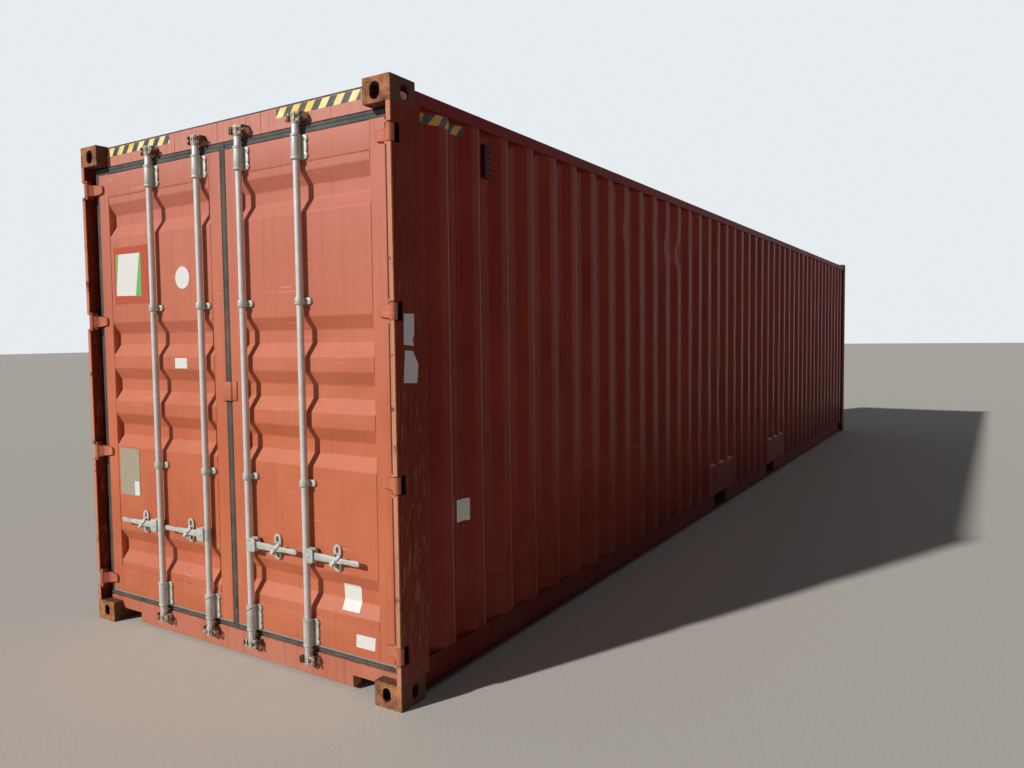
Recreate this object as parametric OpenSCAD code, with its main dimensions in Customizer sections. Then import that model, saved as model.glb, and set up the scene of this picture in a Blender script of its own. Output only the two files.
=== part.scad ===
// Freight container, 40 ft high cube, with two hinged doors and four lock bars
// X runs along the box with the doors at its low end, Y across it and Z up from the ground
// Sizes with "depth" are taken from the door end face, or from the front end face at the front

/* [Body] */
// Length over the corner castings
body_l = 12192; // [6058:1:13716]
// Width over the corner castings
body_w = 2438; // [2300:1:2600]
// Height over the corner castings
body_h = 2896; // [2700:1:3050]

/* [Corner castings] */
// Length of a casting along the box
cast_l = 178; // [170:1:190]
// Width of a casting across the box
cast_w = 162; // [155:1:175]
// Height of a casting
cast_h = 118; // [112:1:130]
// Thickness of the wall that holds the twist lock
cast_slot_t = 28; // [22:1:32]
// Thickness of the other casting walls
cast_wall = 12; // [8:1:15]
// Length of the twist lock slot
slot_l = 124.5; // [112:0.5:128]
// Width of the twist lock slot
slot_w = 63.5; // [56:0.5:68]
// Distance of the slot centre from the end of the box
slot_end = 103.5; // [100:0.5:105]
// Distance of the slot centre from the side of the box
slot_side = 89.5; // [84:0.5:92]
// Width of the upright holes in the top castings
top_hole_w = 60; // [50:1:64]
// Height of the upright holes in the top castings
top_hole_h = 80; // [66:1:82]
// Width of the upright holes in the bottom castings
low_hole_w = 50; // [44:1:60]
// Height of the upright holes in the bottom castings
low_hole_h = 68; // [62:1:80]
// Height of the hole centres above the twist lock face
hole_rise = 63; // [60:1:66]

/* [Posts] */
// Plate thickness of the corner posts
post_t = 6; // [4:0.5:8]
// Depth of the side plate of a door post
post_side_w = 212; // [195:1:240]
// Width of the strip that a door post shows beside the doors
post_strip_w = 26; // [24:1:40]
// Depth of the channel inside a door post
chan_d = 104; // [80:1:110]
// Width of the channel inside a door post
chan_w = 40; // [32:1:44]
// Thickness of the channel inside a door post
chan_t = 12; // [6:1:14]
// Width of a front post across the box
front_post_w = 130; // [100:1:150]

/* [Top and bottom rails] */
// Width of the square top side rail
rail_w = 60; // [50:1:70]
// Wall of the square top rails
rail_t = 3; // [2.5:0.5:5]
// Drop of the top rails below the top of the castings
rail_drop = 36; // [30:1:40]
// Height of the bottom side rail
base_rail_h = 162; // [150:1:175]
// Width of the upper flange of the bottom side rail
base_rail_flange = 48; // [44:1:60]
// Width of the lower flange of the bottom side rail
base_rail_lip = 30; // [20:1:40]
// Thickness of the bottom side rail
base_rail_t = 4.5; // [3:0.5:6]
// Gap between the ground and the base frame
base_gap = 19; // [13:1:24]

/* [Walls and roof] */
// Thickness of the wall, roof and door sheets
sheet_t = 2; // [1.6:0.1:3]
// Set back of the side walls from the side of the box
wall_in = 5; // [3:0.5:8]
// Distance between the ridges of the side walls
side_pitch = 278; // [260:1:300]
// Flat top of a ridge of the side walls
side_crest = 72; // [60:1:80]
// Length of a slope of the side walls
side_slope = 68; // [50:1:74]
// Depth of the ridges of the side walls
side_depth = 36; // [25:1:42]
// Distance between the ridges of the front wall
front_pitch = 250; // [230:1:280]
// Flat top of a ridge of the front wall
front_crest = 110; // [90:1:120]
// Length of a slope of the front wall
front_slope = 18; // [12:1:25]
// Depth of the ridges of the front wall
front_depth = 45.6; // [30:0.1:50]
// Distance between the ridges of the roof
roof_pitch = 209; // [200:1:230]
// Flat top of a ridge of the roof
roof_crest = 84; // [70:1:95]
// Length of a slope of the roof
roof_slope = 14; // [10:1:20]
// Height of the ridges of the roof
roof_depth = 20; // [12:1:24]
// Distance from the side of the box to the end of a roof ridge
roof_ridge_in = 110; // [90:1:200]

/* [Floor and base] */
// Thickness of the floor boards
floor_t = 28; // [21:1:30]
// Height of the cross members
cross_h = 121; // [110:1:125]
// Width of the cross members
cross_w = 45; // [35:1:60]
// Thickness of the cross members
cross_t = 4; // [3:0.5:6]
// Distance between the cross members
cross_pitch = 300; // [280:1:400]
// Length of the tunnel for the trailer neck
tunnel_l = 3315; // [3000:5:3600]
// Width of the tunnel for the trailer neck
tunnel_w = 1029; // [950:1:1040]
// Distance between the two fork pockets
fork_span = 2050; // [1900:5:2200]
// Clear width of a fork pocket
fork_w = 360; // [340:1:380]
// Clear height of a fork pocket
fork_h = 110; // [98:1:112]

/* [Door frame] */
// Depth of the front of the door header
header_d = 70; // [64:1:76]
// Thickness of the door header from front to back
header_w = 60; // [50:1:64]
// Drop of the underside of the door header below the top of the box
header_drop = 120; // [119:1:126]
// Drop of the top of the door header below the top of the box
header_top = 12; // [8:1:20]
// Depth of the front of the door sill
sill_d = 60; // [56:1:66]
// Thickness of the door sill from front to back
sill_w = 56; // [50:1:60]
// Height of the top of the door sill
sill_top = 143; // [135:1:150]
// Wall of the header, the sill and the front bottom rail
frame_t = 4.5; // [3:0.5:6]
// Length of the cut-outs at the ends of the door sill
recess_l = 192; // [150:1:230]
// Height of the top of the cut-outs at the ends of the door sill
recess_top = 76; // [66:1:90]

/* [Doors] */
// Depth of the front of the doors
leaf_d = 58; // [56:1:62]
// Thickness of the doors
leaf_t = 50; // [46:1:52]
// Width of the upright members of the door frames
stile_w = 95; // [80:1:110]
// Height of the top member of the door frames
leaf_top_h = 136; // [120:1:150]
// Height of the bottom member of the door frames
leaf_low_h = 157; // [130:1:160]
// Wall of the door frame members
stile_t = 3.2; // [2.5:0.1:4]
// Height of the seal above the doors
seal_top_h = 41; // [25:1:45]
// Height of the seal below the doors
seal_low_h = 27; // [20:1:40]
// Width of the seal beside the doors on the hinge side
seal_side_w = 34; // [20:1:35]
// Clearance between the seals and the door frame
seal_gap = 6; // [5:0.5:9]
// Distance of the left door frame from the middle of the box
left_leaf_in = 11; // [9:1:20]
// Distance of the left seal from the middle of the box
left_seal_in = 5; // [4:1:8]
// Distance of the right door frame from the middle of the box
right_leaf_in = 30; // [22:1:36]
// Distance of the right seal from the middle of the box
right_seal_in = 3; // [3:1:8]
// Depth of the grooves pressed in the doors
groove_depth = 36; // [25:1:40]
// Flat bottom of a door groove
groove_flat = 68; // [50:1:80]
// Slope of a door groove
groove_slope = 66; // [50:1:80]
// Height of the middle groove of the doors
groove_mid_z = 1463; // [1440:1:1480]
// Distance between the three middle grooves
groove_pitch = 275; // [268:1:300]
// Height of the lowest groove of the doors
groove_low_z = 472; // [465:1:520]
// Drop of the highest groove of the doors below the top of the box
groove_drop = 446; // [440:1:500]

/* [Hinges] */
// Distance of the hinge pins from the side of the box
pin_side = 22; // [21:0.5:24]
// Depth of the hinge pins
pin_d = 22; // [21:0.5:24]
// Radius of the hinge pins
pin_r = 10; // [8:0.5:11]
// Gap between a hinge pin and its knuckle
pin_gap = 0.08; // [0.05:0.01:0.1]
// Radius of the hinge knuckles
knuckle_r = 19; // [17:0.5:19]
// Distance from a hinge pin to the edge of its door
hinge_reach = 59; // [56:1:62]
// Height of a hinge blade
hinge_h = 80; // [60:1:90]
// Thickness of a hinge blade
hinge_t = 12; // [8:1:14]
// Length of a hinge blade on the door
hinge_blade_l = 54; // [40:1:80]
// Height of the lowest hinge
hinge_low_z = 255; // [200:1:300]
// Drop of the highest hinge below the top of the box
hinge_drop = 253; // [200:1:300]
// Number of hinges on a door
hinge_count = 4; // [3:1:5]

/* [Lock bars] */
// Radius of a lock bar
bar_r = 17; // [14:0.5:18]
// Depth of the lock bars
bar_d = 30; // [28:0.5:31]
// Distance of the inner lock bars from the middle of the box
bar_in_y = 171; // [160:1:200]
// Distance of the outer lock bars from the middle of the box
bar_out_y = 594; // [570:1:620]
// Height of the lower end of the lock bars
bar_low_z = 83; // [80:1:90]
// Drop of the upper end of the lock bars below the top of the box
bar_drop = 68; // [64:1:75]
// Height of a cam
cam_h = 47; // [40:1:50]
// Radius of the round part of a cam
cam_r = 22; // [20:0.5:23]
// Reach of the hook of a cam from the middle of its bar
cam_reach = 34; // [30:1:35]
// Gap between a cam hook and its keeper
keeper_gap = 6; // [5:0.5:8]
// Thickness of a keeper
keeper_t = 10; // [8:1:12]
// Gap between a lock bar and its guides
bar_gap = 0.1; // [0.05:0.05:0.5]
// Wall of the guides round a lock bar
guide_t = 7; // [5:0.5:7]
// Width of the flanges of a guide
guide_flange_w = 86; // [76:1:90]
// Height of the long guides near the bar ends
guide_long_h = 120; // [80:1:121]
// Height of the short guides
guide_short_h = 34; // [26:1:40]
// Heights of the short guides
guide_zs = [1007, 1913];

/* [Handles] */
// Height of the handles
handle_z = 650; // [640:1:660]
// Length of a handle from the middle of its bar
handle_l = 366; // [340:1:380]
// Height of a handle at its root
handle_h = 30; // [24:1:32]
// Thickness of a handle
handle_t = 12; // [8:1:13]
// Depth of the front of a handle
handle_d = 14.5; // [14:0.5:16]
// Distance of a handle pin from the middle of its bar
handle_pin_y = 37; // [36:0.5:40]
// Radius of a handle pin
handle_pin_r = 8; // [6:0.5:9]
// Height of the hub that holds a handle
hub_h = 74; // [60:1:80]
// Distance of a handle rest from the middle of its bar
rest_y = 178; // [150:1:200]
// Height of a handle rest
rest_h = 126; // [110:1:130]
// Width of a handle rest
rest_w = 34; // [28:1:40]
// Length of the swing catch of a handle
catch_l = 84; // [70:1:95]
// Width of the swing catch of a handle
catch_w = 18; // [14:1:22]
// Thickness of the swing catch of a handle
catch_t = 6; // [4:1:7]

/* [Small parts] */
// Height of the lock plate over the gap between the doors
plate_h = 107; // [90:1:120]
// Height of the middle of the lock plate
plate_z = 1451; // [1430:1:1470]
// Reach of the lock plate on the left door
plate_left_w = 46; // [40:1:60]
// Reach of the lock plate on the right door
plate_right_w = 74; // [60:1:80]
// Thickness of the lock plate
plate_t = 12; // [8:1:14]
// Height of the flat plates over the fork pockets
patch_h = 270; // [200:1:300]
// Height of the slope at the top of these plates
patch_cap_h = 40; // [30:1:50]
// Distance from the edge of a ridge to the edge of such a plate
patch_inset = 16; // [5:1:30]
// Width of a ventilator
vent_w = 62; // [50:1:68]
// Height of a ventilator
vent_h = 172; // [140:1:190]
// Depth of a ventilator
vent_t = 26; // [18:1:28]
// Length of the plates on the roof beside the top castings
corner_plate_l = 300; // [250:1:320]
// Width of the plates on the roof beside the top castings
corner_plate_w = 330; // [250:1:350]
// Thickness of the plates on the roof beside the top castings
corner_plate_t = 4; // [3:0.5:6]

/* [Hidden] */
paint = [0.62, 0.27, 0.19];
rust = [0.50, 0.31, 0.20];
zinc = [0.72, 0.73, 0.72];
rubber = [0.33, 0.34, 0.32];
wood = [0.55, 0.40, 0.25];
// Small overlap that makes cuts run past a face
cut = 1;
half_w = body_w / 2;
post_low = cast_h;
post_top = body_h - cast_h;
rail_top = body_h - rail_drop;
rail_low = rail_top - rail_w;
base_top = base_gap + base_rail_h;
base_web = half_w - post_t - base_rail_flange;
cross_top = base_gap + cross_h;
floor_top = cross_top + floor_t;
wall_out = half_w - wall_in;
wall_base = wall_out - side_depth;
inside_w = wall_base - sheet_t;
jamb = half_w - post_t - chan_w;
header_low = body_h - header_drop;
header_high = body_h - header_top;
leaf_out = half_w - pin_side - hinge_reach;
leaf_top = header_low - seal_gap - seal_top_h;
leaf_low = sill_top + seal_gap + seal_low_h;
leaf_back = leaf_d + leaf_t;
seal_out = leaf_out + seal_side_w;
bar_top_z = body_h - bar_drop;
guide_r = bar_r + bar_gap + guide_t;
hinge_step = (body_h - hinge_drop - hinge_low_z) / (hinge_count - 1);
hinge_zs = [for (i = [0 : hinge_count - 1]) hinge_low_z + i * hinge_step];
hinge_cut_h = hinge_h + 10;
hinge_cut_d = pin_d + 42;
lug_t = 14;
lug_gap = 1;
frame_back = header_d + header_w;
roof_from = frame_back;
roof_flat_z = rail_top;
roof_half_w = half_w - 20;
front_wall_d = 20;
bar_ys = [bar_out_y, bar_in_y];
patch_crests = [15, 23];
vent_trough = 1;

// Number of ridges that fit on each side of the middle
function ridges(from, to, mid, pitch, crest, slope) =
    floor((min(mid - from, to - mid) - crest / 2 - slope - 20 + pitch / 2) / pitch);

// Points of a wave with ridges that rise from the base line
function wave(from, to, mid, pitch, crest, slope, base, rise) =
    let (half = ridges(from, to, mid, pitch, crest, slope))
    concat(
        [[from, base]],
        [for (i = [-half : half - 1]) for (p = [[-1, 0], [-1, 1], [1, 1], [1, 0]])
            [mid + (i + 0.5) * pitch + p[0] * (crest / 2 + (1 - p[1]) * slope), base + p[1] * rise]],
        [[to, base]]
    );

// Points of a straight line with grooves at the places given
function grooved(from, to, places, flat, slope, base, fall) =
    concat(
        [[from, base]],
        [for (c = places) for (p = [[-1, 0], [-1, 1], [1, 1], [1, 0]])
            [c + p[0] * (flat / 2 + (1 - p[1]) * slope), base + p[1] * fall]],
        [[to, base]]
    );

// Outline of a sheet that follows the points, with its thickness to one side
module sheet_2d(points, thick) {
    count = len(points);
    polygon(concat(points, [for (i = [count - 1 : -1 : 0]) points[i] + [0, thick]]));
}

// Round ended slot with its length along the first axis
module slot_2d(length, width) {
    square([length - width, width], center = true);
    for (s = [-1, 1]) translate([s * (length - width) / 2, 0]) circle(d = width, $fn = 48);
}

// Hollow rectangle with its low corner at the origin
module tube_2d(w, h, t) {
    difference() {
        square([w, h]);
        translate([t, t]) square([w - 2 * t, h - 2 * t]);
    }
}

// Box between two depths from the door end, two places across and two heights
module block(d0, d1, y0, y1, z0, z1) {
    translate([d0 - body_l / 2, y0, z0]) cube([d1 - d0, y1 - y0, z1 - z0]);
}

// Mirrors what was drawn on the left to the right when right is 1
module on_side(right) {
    mirror([0, right, 0]) children();
}

// Mirrors what was drawn at the door end to the front end
module at_front() {
    mirror([1, 0, 0]) children();
}

// One corner casting with its outer corner at the origin
module casting(hole_w, hole_h) {
    difference() {
        translate([0, -cast_w, 0]) cube([cast_l, cast_w, cast_h]);
        translate([cast_wall, cast_wall - cast_w, cast_slot_t])
            cube([cast_l - 2 * cast_wall, cast_w - 2 * cast_wall, cast_h - cast_slot_t - cast_wall]);
        translate([slot_end, -slot_side, -cut])
            linear_extrude(cast_slot_t + 2 * cut) slot_2d(slot_l, slot_w);
        translate([-cut, -slot_side, hole_rise]) rotate([0, 90, 0])
            linear_extrude(cast_wall + 2 * cut) slot_2d(hole_h, hole_w);
        translate([slot_end, cut, hole_rise]) rotate([90, 90, 0])
            linear_extrude(cast_wall + 2 * cut) slot_2d(hole_h, hole_w);
    }
}

// The left and right castings of the door end at one level
module casting_pair(top, hole_w, hole_h) {
    for (right = [0, 1]) on_side(right)
        translate([-body_l / 2, half_w, top * body_h]) mirror([0, 0, top]) casting(hole_w, hole_h);
}

module door_castings_top() {
    color(rust) casting_pair(1, top_hole_w, top_hole_h);
}

module door_castings_bottom() {
    color(rust) casting_pair(0, low_hole_w, low_hole_h);
}

module front_castings_top() {
    color(rust) at_front() casting_pair(1, top_hole_w, top_hole_h);
}

module front_castings_bottom() {
    color(rust) at_front() casting_pair(0, low_hole_w, low_hole_h);
}

// Pin and the two lugs that hold it, for one hinge
module hinge_pin(z) {
    lug_low = hinge_h / 2 + lug_gap;
    translate([pin_d - body_l / 2, half_w - pin_side, z]) {
        translate([0, 0, -lug_low - lug_t]) cylinder(r = pin_r, h = 2 * (lug_low + lug_t), $fn = 48);
        for (s = [0, 1]) mirror([0, 0, s]) translate([post_t - pin_d, -knuckle_r - 2, lug_low])
            cube([pin_d + 16, pin_side - post_t + knuckle_r + 2, lug_t]);
    }
}

// Door post: side plate, front strip, inner channel and the fixed half of the hinges
module door_post() {
    difference() {
        union() {
            block(0, post_side_w, half_w - post_t, half_w, post_low, post_top);
            block(0, post_t, half_w - post_strip_w, half_w, post_low, post_top);
            block(cast_l, post_side_w, half_w - post_t, half_w, post_low, rail_low);
            difference() {
                block(post_side_w - chan_d, post_side_w, jamb, half_w - post_t, post_low, post_top);
                block(post_side_w - chan_d + chan_t, post_side_w - chan_t, jamb + chan_t, half_w,
                    post_low - cut, post_top + cut);
            }
        }
        for (z = hinge_zs)
            block(-cut, hinge_cut_d, half_w - post_strip_w - cut, half_w + cut,
                z - hinge_cut_h / 2, z + hinge_cut_h / 2);
    }
    for (z = hinge_zs) hinge_pin(z);
}

module door_post_left() {
    color(rust) on_side(0) door_post();
}

module door_post_right() {
    color(rust) on_side(1) door_post();
}

// Front post: a closed pressed section as deep as the castings
module front_post() {
    at_front() translate([-body_l / 2, half_w - front_post_w, post_low])
        linear_extrude(post_top - post_low) tube_2d(cast_l, front_post_w, post_t);
}

module front_post_left() {
    color(paint) on_side(0) front_post();
}

module front_post_right() {
    color(paint) on_side(1) front_post();
}

// Box section across the door end with its lip behind the doors
module door_header() {
    span = body_w - 2 * cast_w;
    lip = 26;
    color(paint) {
        translate([header_d - body_l / 2, span / 2, header_low]) rotate([90, 0, 0])
            linear_extrude(span) tube_2d(header_w, header_high - header_low, frame_t);
        block(frame_back - frame_t, frame_back, -jamb, jamb, header_low - lip, header_low);
    }
}

module door_sill() {
    recess_in = half_w - cast_w - recess_l;
    color(paint) {
        translate([sill_d - body_l / 2, recess_in, base_gap]) rotate([90, 0, 0])
            linear_extrude(2 * recess_in) tube_2d(sill_w, sill_top - base_gap, frame_t);
        for (right = [0, 1]) on_side(right) {
            translate([sill_d - body_l / 2, half_w - cast_w, recess_top]) rotate([90, 0, 0])
                linear_extrude(recess_l) tube_2d(sill_w, sill_top - recess_top, frame_t);
            block(sill_d, sill_d + sill_w, recess_in - frame_t, recess_in, base_gap, sill_top);
            block(sill_d, sill_d + sill_w, half_w - cast_w, jamb, post_low, sill_top);
        }
    }
}

module front_top_rail() {
    span = body_w - 2 * cast_w;
    color(paint) at_front() translate([-body_l / 2, span / 2, post_top]) rotate([90, 0, 0])
        linear_extrude(span) tube_2d(front_wall_d + rail_w, rail_top - post_top, rail_t);
}

// Box section across the front end, raised over the tunnel
module front_bottom_rail() {
    side = half_w - cast_w - tunnel_w / 2;
    color(paint) at_front() {
        for (right = [0, 1]) on_side(right) {
            translate([-body_l / 2, half_w - cast_w, base_gap]) rotate([90, 0, 0])
                linear_extrude(side) tube_2d(front_wall_d + rail_w, base_top - base_gap, frame_t);
            block(0, front_wall_d + rail_w, half_w - cast_w, half_w - front_post_w, post_low, base_top);
        }
        translate([-body_l / 2, tunnel_w / 2, cross_top]) rotate([90, 0, 0])
            linear_extrude(tunnel_w) tube_2d(front_wall_d + rail_w, base_top - cross_top, frame_t);
    }
}

// Square tube between the top castings
module top_rail() {
    translate([cast_l - body_l / 2, half_w - rail_w, rail_low]) rotate([90, 0, 90])
        linear_extrude(body_l - 2 * cast_l) tube_2d(rail_w, rail_w, rail_t);
}

module top_rail_left() {
    color(paint) on_side(0) top_rail();
}

module top_rail_right() {
    color(paint) on_side(1) top_rail();
}

// Channel that opens outwards, with the mouths of the fork pockets
module bottom_rail() {
    end = body_l - cast_l;
    lip_out = base_web + base_rail_lip;
    difference() {
        union() {
            block(cast_l, end, base_web - base_rail_t, base_web, base_gap, base_top);
            block(cast_l, end, base_web, lip_out, base_gap, base_gap + base_rail_t);
            block(cast_l, end, base_web, half_w - post_t, base_top - base_rail_t, base_top);
        }
        block(cast_l - cut, post_side_w, base_web - base_rail_t - cut, half_w, post_low, base_top + cut);
        for (s = [-1, 1]) translate([s * fork_span / 2 - fork_w / 2, base_web - base_rail_t - cut,
            base_gap + base_rail_t]) cube([fork_w, base_rail_t + 2 * cut, fork_h]);
    }
}

module bottom_rail_left() {
    color(paint) on_side(0) bottom_rail();
}

module bottom_rail_right() {
    color(paint) on_side(1) bottom_rail();
}

// Pressed sheet between the rails and the posts, with upright ridges
module side_wall() {
    from = post_side_w - body_l / 2;
    to = body_l / 2 - cast_l;
    translate([0, 0, base_top]) linear_extrude(rail_low - base_top)
        sheet_2d(wave(from, to, 0, side_pitch, side_crest, side_slope, wall_base, side_depth), -sheet_t);
}

module side_wall_left() {
    color(paint) on_side(0) side_wall();
}

module side_wall_right() {
    color(paint) on_side(1) side_wall();
}

module front_wall() {
    edge = half_w - front_post_w;
    points = wave(-edge, edge, 0, front_pitch, front_crest, front_slope, -front_depth, front_depth);
    color(paint) translate([body_l / 2 - front_wall_d, 0, base_top]) rotate([0, 0, -90])
        linear_extrude(post_top - base_top) sheet_2d(points, -sheet_t);
}

// Flat sheet on the rails with raised ridges that end short of the sides
module roof_sheet() {
    from = roof_from - body_l / 2;
    to = body_l / 2 - front_wall_d;
    ridge_from = from + cast_l + corner_plate_l;
    ridge_to = to - cast_l - corner_plate_l;
    edge = half_w - roof_ridge_in;
    span = 2 * edge;
    points = wave(ridge_from, ridge_to, 0, roof_pitch, roof_crest, roof_slope, roof_flat_z, roof_depth);
    half = ridges(ridge_from, ridge_to, 0, roof_pitch, roof_crest, roof_slope);
    foot = roof_crest / 2 + roof_slope;
    side_from = cast_l - body_l / 2;
    side_to = body_l / 2 - cast_l;
    color(paint) {
        translate([0, edge, 0]) rotate([90, 0, 0]) linear_extrude(span) sheet_2d(points, sheet_t);
        for (s = [-1, 1], i = [-half : half - 1])
            translate([(i + 0.5) * roof_pitch, s * (edge - sheet_t / 2) + sheet_t / 2, roof_flat_z])
                rotate([90, 0, 0]) linear_extrude(sheet_t) polygon([
                    [-foot, 0], [foot, 0], [roof_crest / 2, roof_depth + sheet_t / 2],
                    [-roof_crest / 2, roof_depth + sheet_t / 2]]);
        for (right = [0, 1]) on_side(right)
            translate([side_from, edge, roof_flat_z]) cube([side_to - side_from, roof_half_w - edge, sheet_t]);
        for (p = [[side_from, ridge_from], [ridge_to, side_to]])
            translate([p[0], -edge, roof_flat_z]) cube([p[1] - p[0], span, sheet_t]);
        for (p = [[from, side_from], [side_to, to]])
            translate([p[0], cast_w - half_w, roof_flat_z]) cube([p[1] - p[0], body_w - 2 * cast_w, sheet_t]);
    }
}

module roof_corner_plates() {
    z = roof_flat_z + sheet_t;
    edge = roof_half_w;
    color(paint) for (right = [0, 1]) on_side(right) {
        block(frame_back, frame_back + corner_plate_l, edge - corner_plate_w, half_w - cast_w,
            z, z + corner_plate_t);
        block(cast_l, frame_back + corner_plate_l, half_w - cast_w, edge, z, z + corner_plate_t);
        at_front() block(front_wall_d, cast_l + corner_plate_l, edge - corner_plate_w, half_w - cast_w,
            z, z + corner_plate_t);
        at_front() block(cast_l, cast_l + corner_plate_l, half_w - cast_w, edge, z, z + corner_plate_t);
    }
}

module floor_boards() {
    width = base_web - base_rail_t;
    from = sill_d + sill_w;
    to = body_l - cast_l;
    front_width = half_w - front_post_w;
    color(wood) {
        block(from, to, -width, width, cross_top, floor_top);
        block(to, body_l - front_wall_d - rail_w, -front_width, front_width, cross_top, floor_top);
    }
}

// Channel section across the box with its web on the low side
module cross_channel(y0, y1) {
    translate([0, y0, base_gap]) difference() {
        cube([cross_w, y1 - y0, cross_h]);
        translate([cross_t, -cut, cross_t]) cube([cross_w, y1 - y0 + 2 * cut, cross_h - 2 * cross_t]);
    }
}

module cross_members() {
    width = base_web - base_rail_t;
    from = sill_d + sill_w - body_l / 2;
    tunnel_from = body_l / 2 - tunnel_l;
    fork_half = fork_w / 2 + 2 * cross_w;
    count = floor((body_l - sill_d - sill_w - 2 * cast_l) / cross_pitch);
    color(paint) for (i = [1 : count]) {
        x = from + i * cross_pitch;
        near_fork = abs(abs(x + cross_w / 2) - fork_span / 2) < fork_half;
        near_end = abs(x - tunnel_from) < 2 * cross_w;
        if (!near_fork && !near_end) translate([x, 0, 0]) {
            if (x < tunnel_from) cross_channel(-width, width);
            else for (s = [0, 1]) mirror([0, s, 0]) cross_channel(tunnel_w / 2 + cross_t, width);
        }
    }
}

// Two pockets across the base, each with side channels, a top plate and straps below
module fork_pockets() {
    width = base_web - base_rail_t;
    strap = 250;
    color(paint) for (s = [-1, 1]) translate([s * fork_span / 2, 0, 0]) {
        for (m = [0, 1]) mirror([m, 0, 0]) translate([fork_w / 2, 0, 0]) cross_channel(-width, width);
        translate([-fork_w / 2, -width, base_gap + base_rail_t + fork_h])
            cube([fork_w, 2 * width, cross_t]);
        for (m = [0, 1]) mirror([0, m, 0]) translate([-fork_w / 2, width - strap, base_gap])
            cube([fork_w, strap, base_rail_t]);
    }
}

// Side members, top plate and end member of the tunnel
module neck_tunnel() {
    from = body_l - tunnel_l;
    to = body_l - front_wall_d - rail_w;
    half = tunnel_w / 2;
    seam = 0.5;
    color(paint) {
        for (right = [0, 1]) on_side(right)
            block(from + seam, to, half, half + cross_t, base_gap, cross_top);
        block(from + seam, to, seam - half, half - seam, cross_top - cross_t, cross_top);
        block(from - cross_t, from, -base_web + base_rail_t, base_web - base_rail_t, base_gap, cross_top);
    }
}

// Flat plates that bridge three troughs above the fork pockets, with a sloped cap in each trough
module fork_cover_plates() {
    half = ridges(post_side_w - body_l / 2, body_l / 2 - cast_l, 0, side_pitch, side_crest, side_slope);
    reach = 3 * side_pitch + side_crest - 2 * patch_inset;
    lean = atan2(patch_cap_h, side_depth);
    slant = (side_depth - sheet_t / 2) / cos(lean);
    mouth = side_pitch - side_crest - 3 * sheet_t;
    color(paint) for (right = [0, 1]) on_side(right) for (crest = patch_crests) {
        x = (crest - half + 0.5) * side_pitch;
        translate([x - side_crest / 2 + patch_inset, wall_out, base_top]) cube([reach, sheet_t, patch_h]);
        for (i = [0 : 2])
            translate([x + (i + 0.5) * side_pitch, wall_out + sheet_t / 2, base_top + patch_h - sheet_t / 2])
                rotate([180 - lean, 0, 0]) linear_extrude(sheet_t)
                    polygon([[-mouth / 2, 0], [mouth / 2, 0], [mouth / 2 - side_slope, slant],
                        [side_slope - mouth / 2, slant]]);
    }
}

module ventilators() {
    half = ridges(post_side_w - body_l / 2, body_l / 2 - cast_l, 0, side_pitch, side_crest, side_slope);
    x = (vent_trough - half + 1) * side_pitch;
    slats = 6;
    slat_h = 8;
    drop = 60;
    color(zinc) for (right = [0, 1]) on_side(right) translate([x - vent_w / 2, wall_base, rail_low - drop - vent_h])
        difference() {
            cube([vent_w, vent_t, vent_h]);
            for (i = [0 : slats - 1]) translate([8, vent_t - 4, (i + 0.5) * vent_h / slats - slat_h / 2])
                cube([vent_w - 16, 5, slat_h]);
        }
}

// Two lugs and a back plate that hold one cam, drawn round the bar axis
module keeper(face, z0) {
    hook_side = cam_reach + keeper_gap;
    plain_side = cam_r + keeper_gap;
    front = bar_d - 16;
    block(front, face, hook_side, hook_side + keeper_t, z0, z0 + cam_h);
    block(front, face, -plain_side - keeper_t, -plain_side, z0, z0 + cam_h);
    block(face - 2.5, face, -plain_side - keeper_t, hook_side + keeper_t, z0, z0 + cam_h);
}

module lock_keepers() {
    color(rust) for (right = [0, 1]) on_side(right) for (y = bar_ys) translate([0, y, 0]) {
        keeper(header_d, bar_top_z - cam_h);
        keeper(sill_d, bar_low_z);
    }
}

// Door leaf on the left, with its frame and its grooved sheet
module leaf(inner) {
    groove_zs = [groove_low_z, groove_mid_z - groove_pitch, groove_mid_z, groove_mid_z + groove_pitch,
        body_h - groove_drop];
    width = leaf_out - inner;
    sheet_low = leaf_low + leaf_low_h;
    sheet_top = leaf_top - leaf_top_h;
    points = grooved(sheet_low, sheet_top, groove_zs, groove_flat, groove_slope, 0, groove_depth);
    translate([leaf_d - body_l / 2, 0, 0]) {
        for (y = [inner, leaf_out - stile_w]) translate([0, y, leaf_low])
            linear_extrude(leaf_top - leaf_low) tube_2d(leaf_t, stile_w, stile_t);
        for (p = [[leaf_low, leaf_low_h], [sheet_top, leaf_top_h]])
            translate([0, leaf_out - stile_w, p[0]]) rotate([90, 0, 0])
                linear_extrude(width - 2 * stile_w) tube_2d(leaf_t, p[1], stile_t);
        translate([0, leaf_out - stile_w, 0]) rotate([0, -90, 90])
            linear_extrude(width - 2 * stile_w) mirror([0, 1]) sheet_2d(points, sheet_t);
    }
}

// Rubber seal round a door leaf
module seal(inner, seal_in) {
    inset = 2;
    depth = leaf_t - 8 - inset;
    z0 = leaf_low - seal_low_h;
    z1 = leaf_top + seal_top_h;
    translate([leaf_d + inset - body_l / 2, 0, 0]) difference() {
        translate([0, seal_in, z0]) cube([depth, seal_out - seal_in, z1 - z0]);
        translate([-cut, inner, leaf_low]) cube([depth + 2 * cut, leaf_out - inner, leaf_top - leaf_low]);
    }
}

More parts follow.
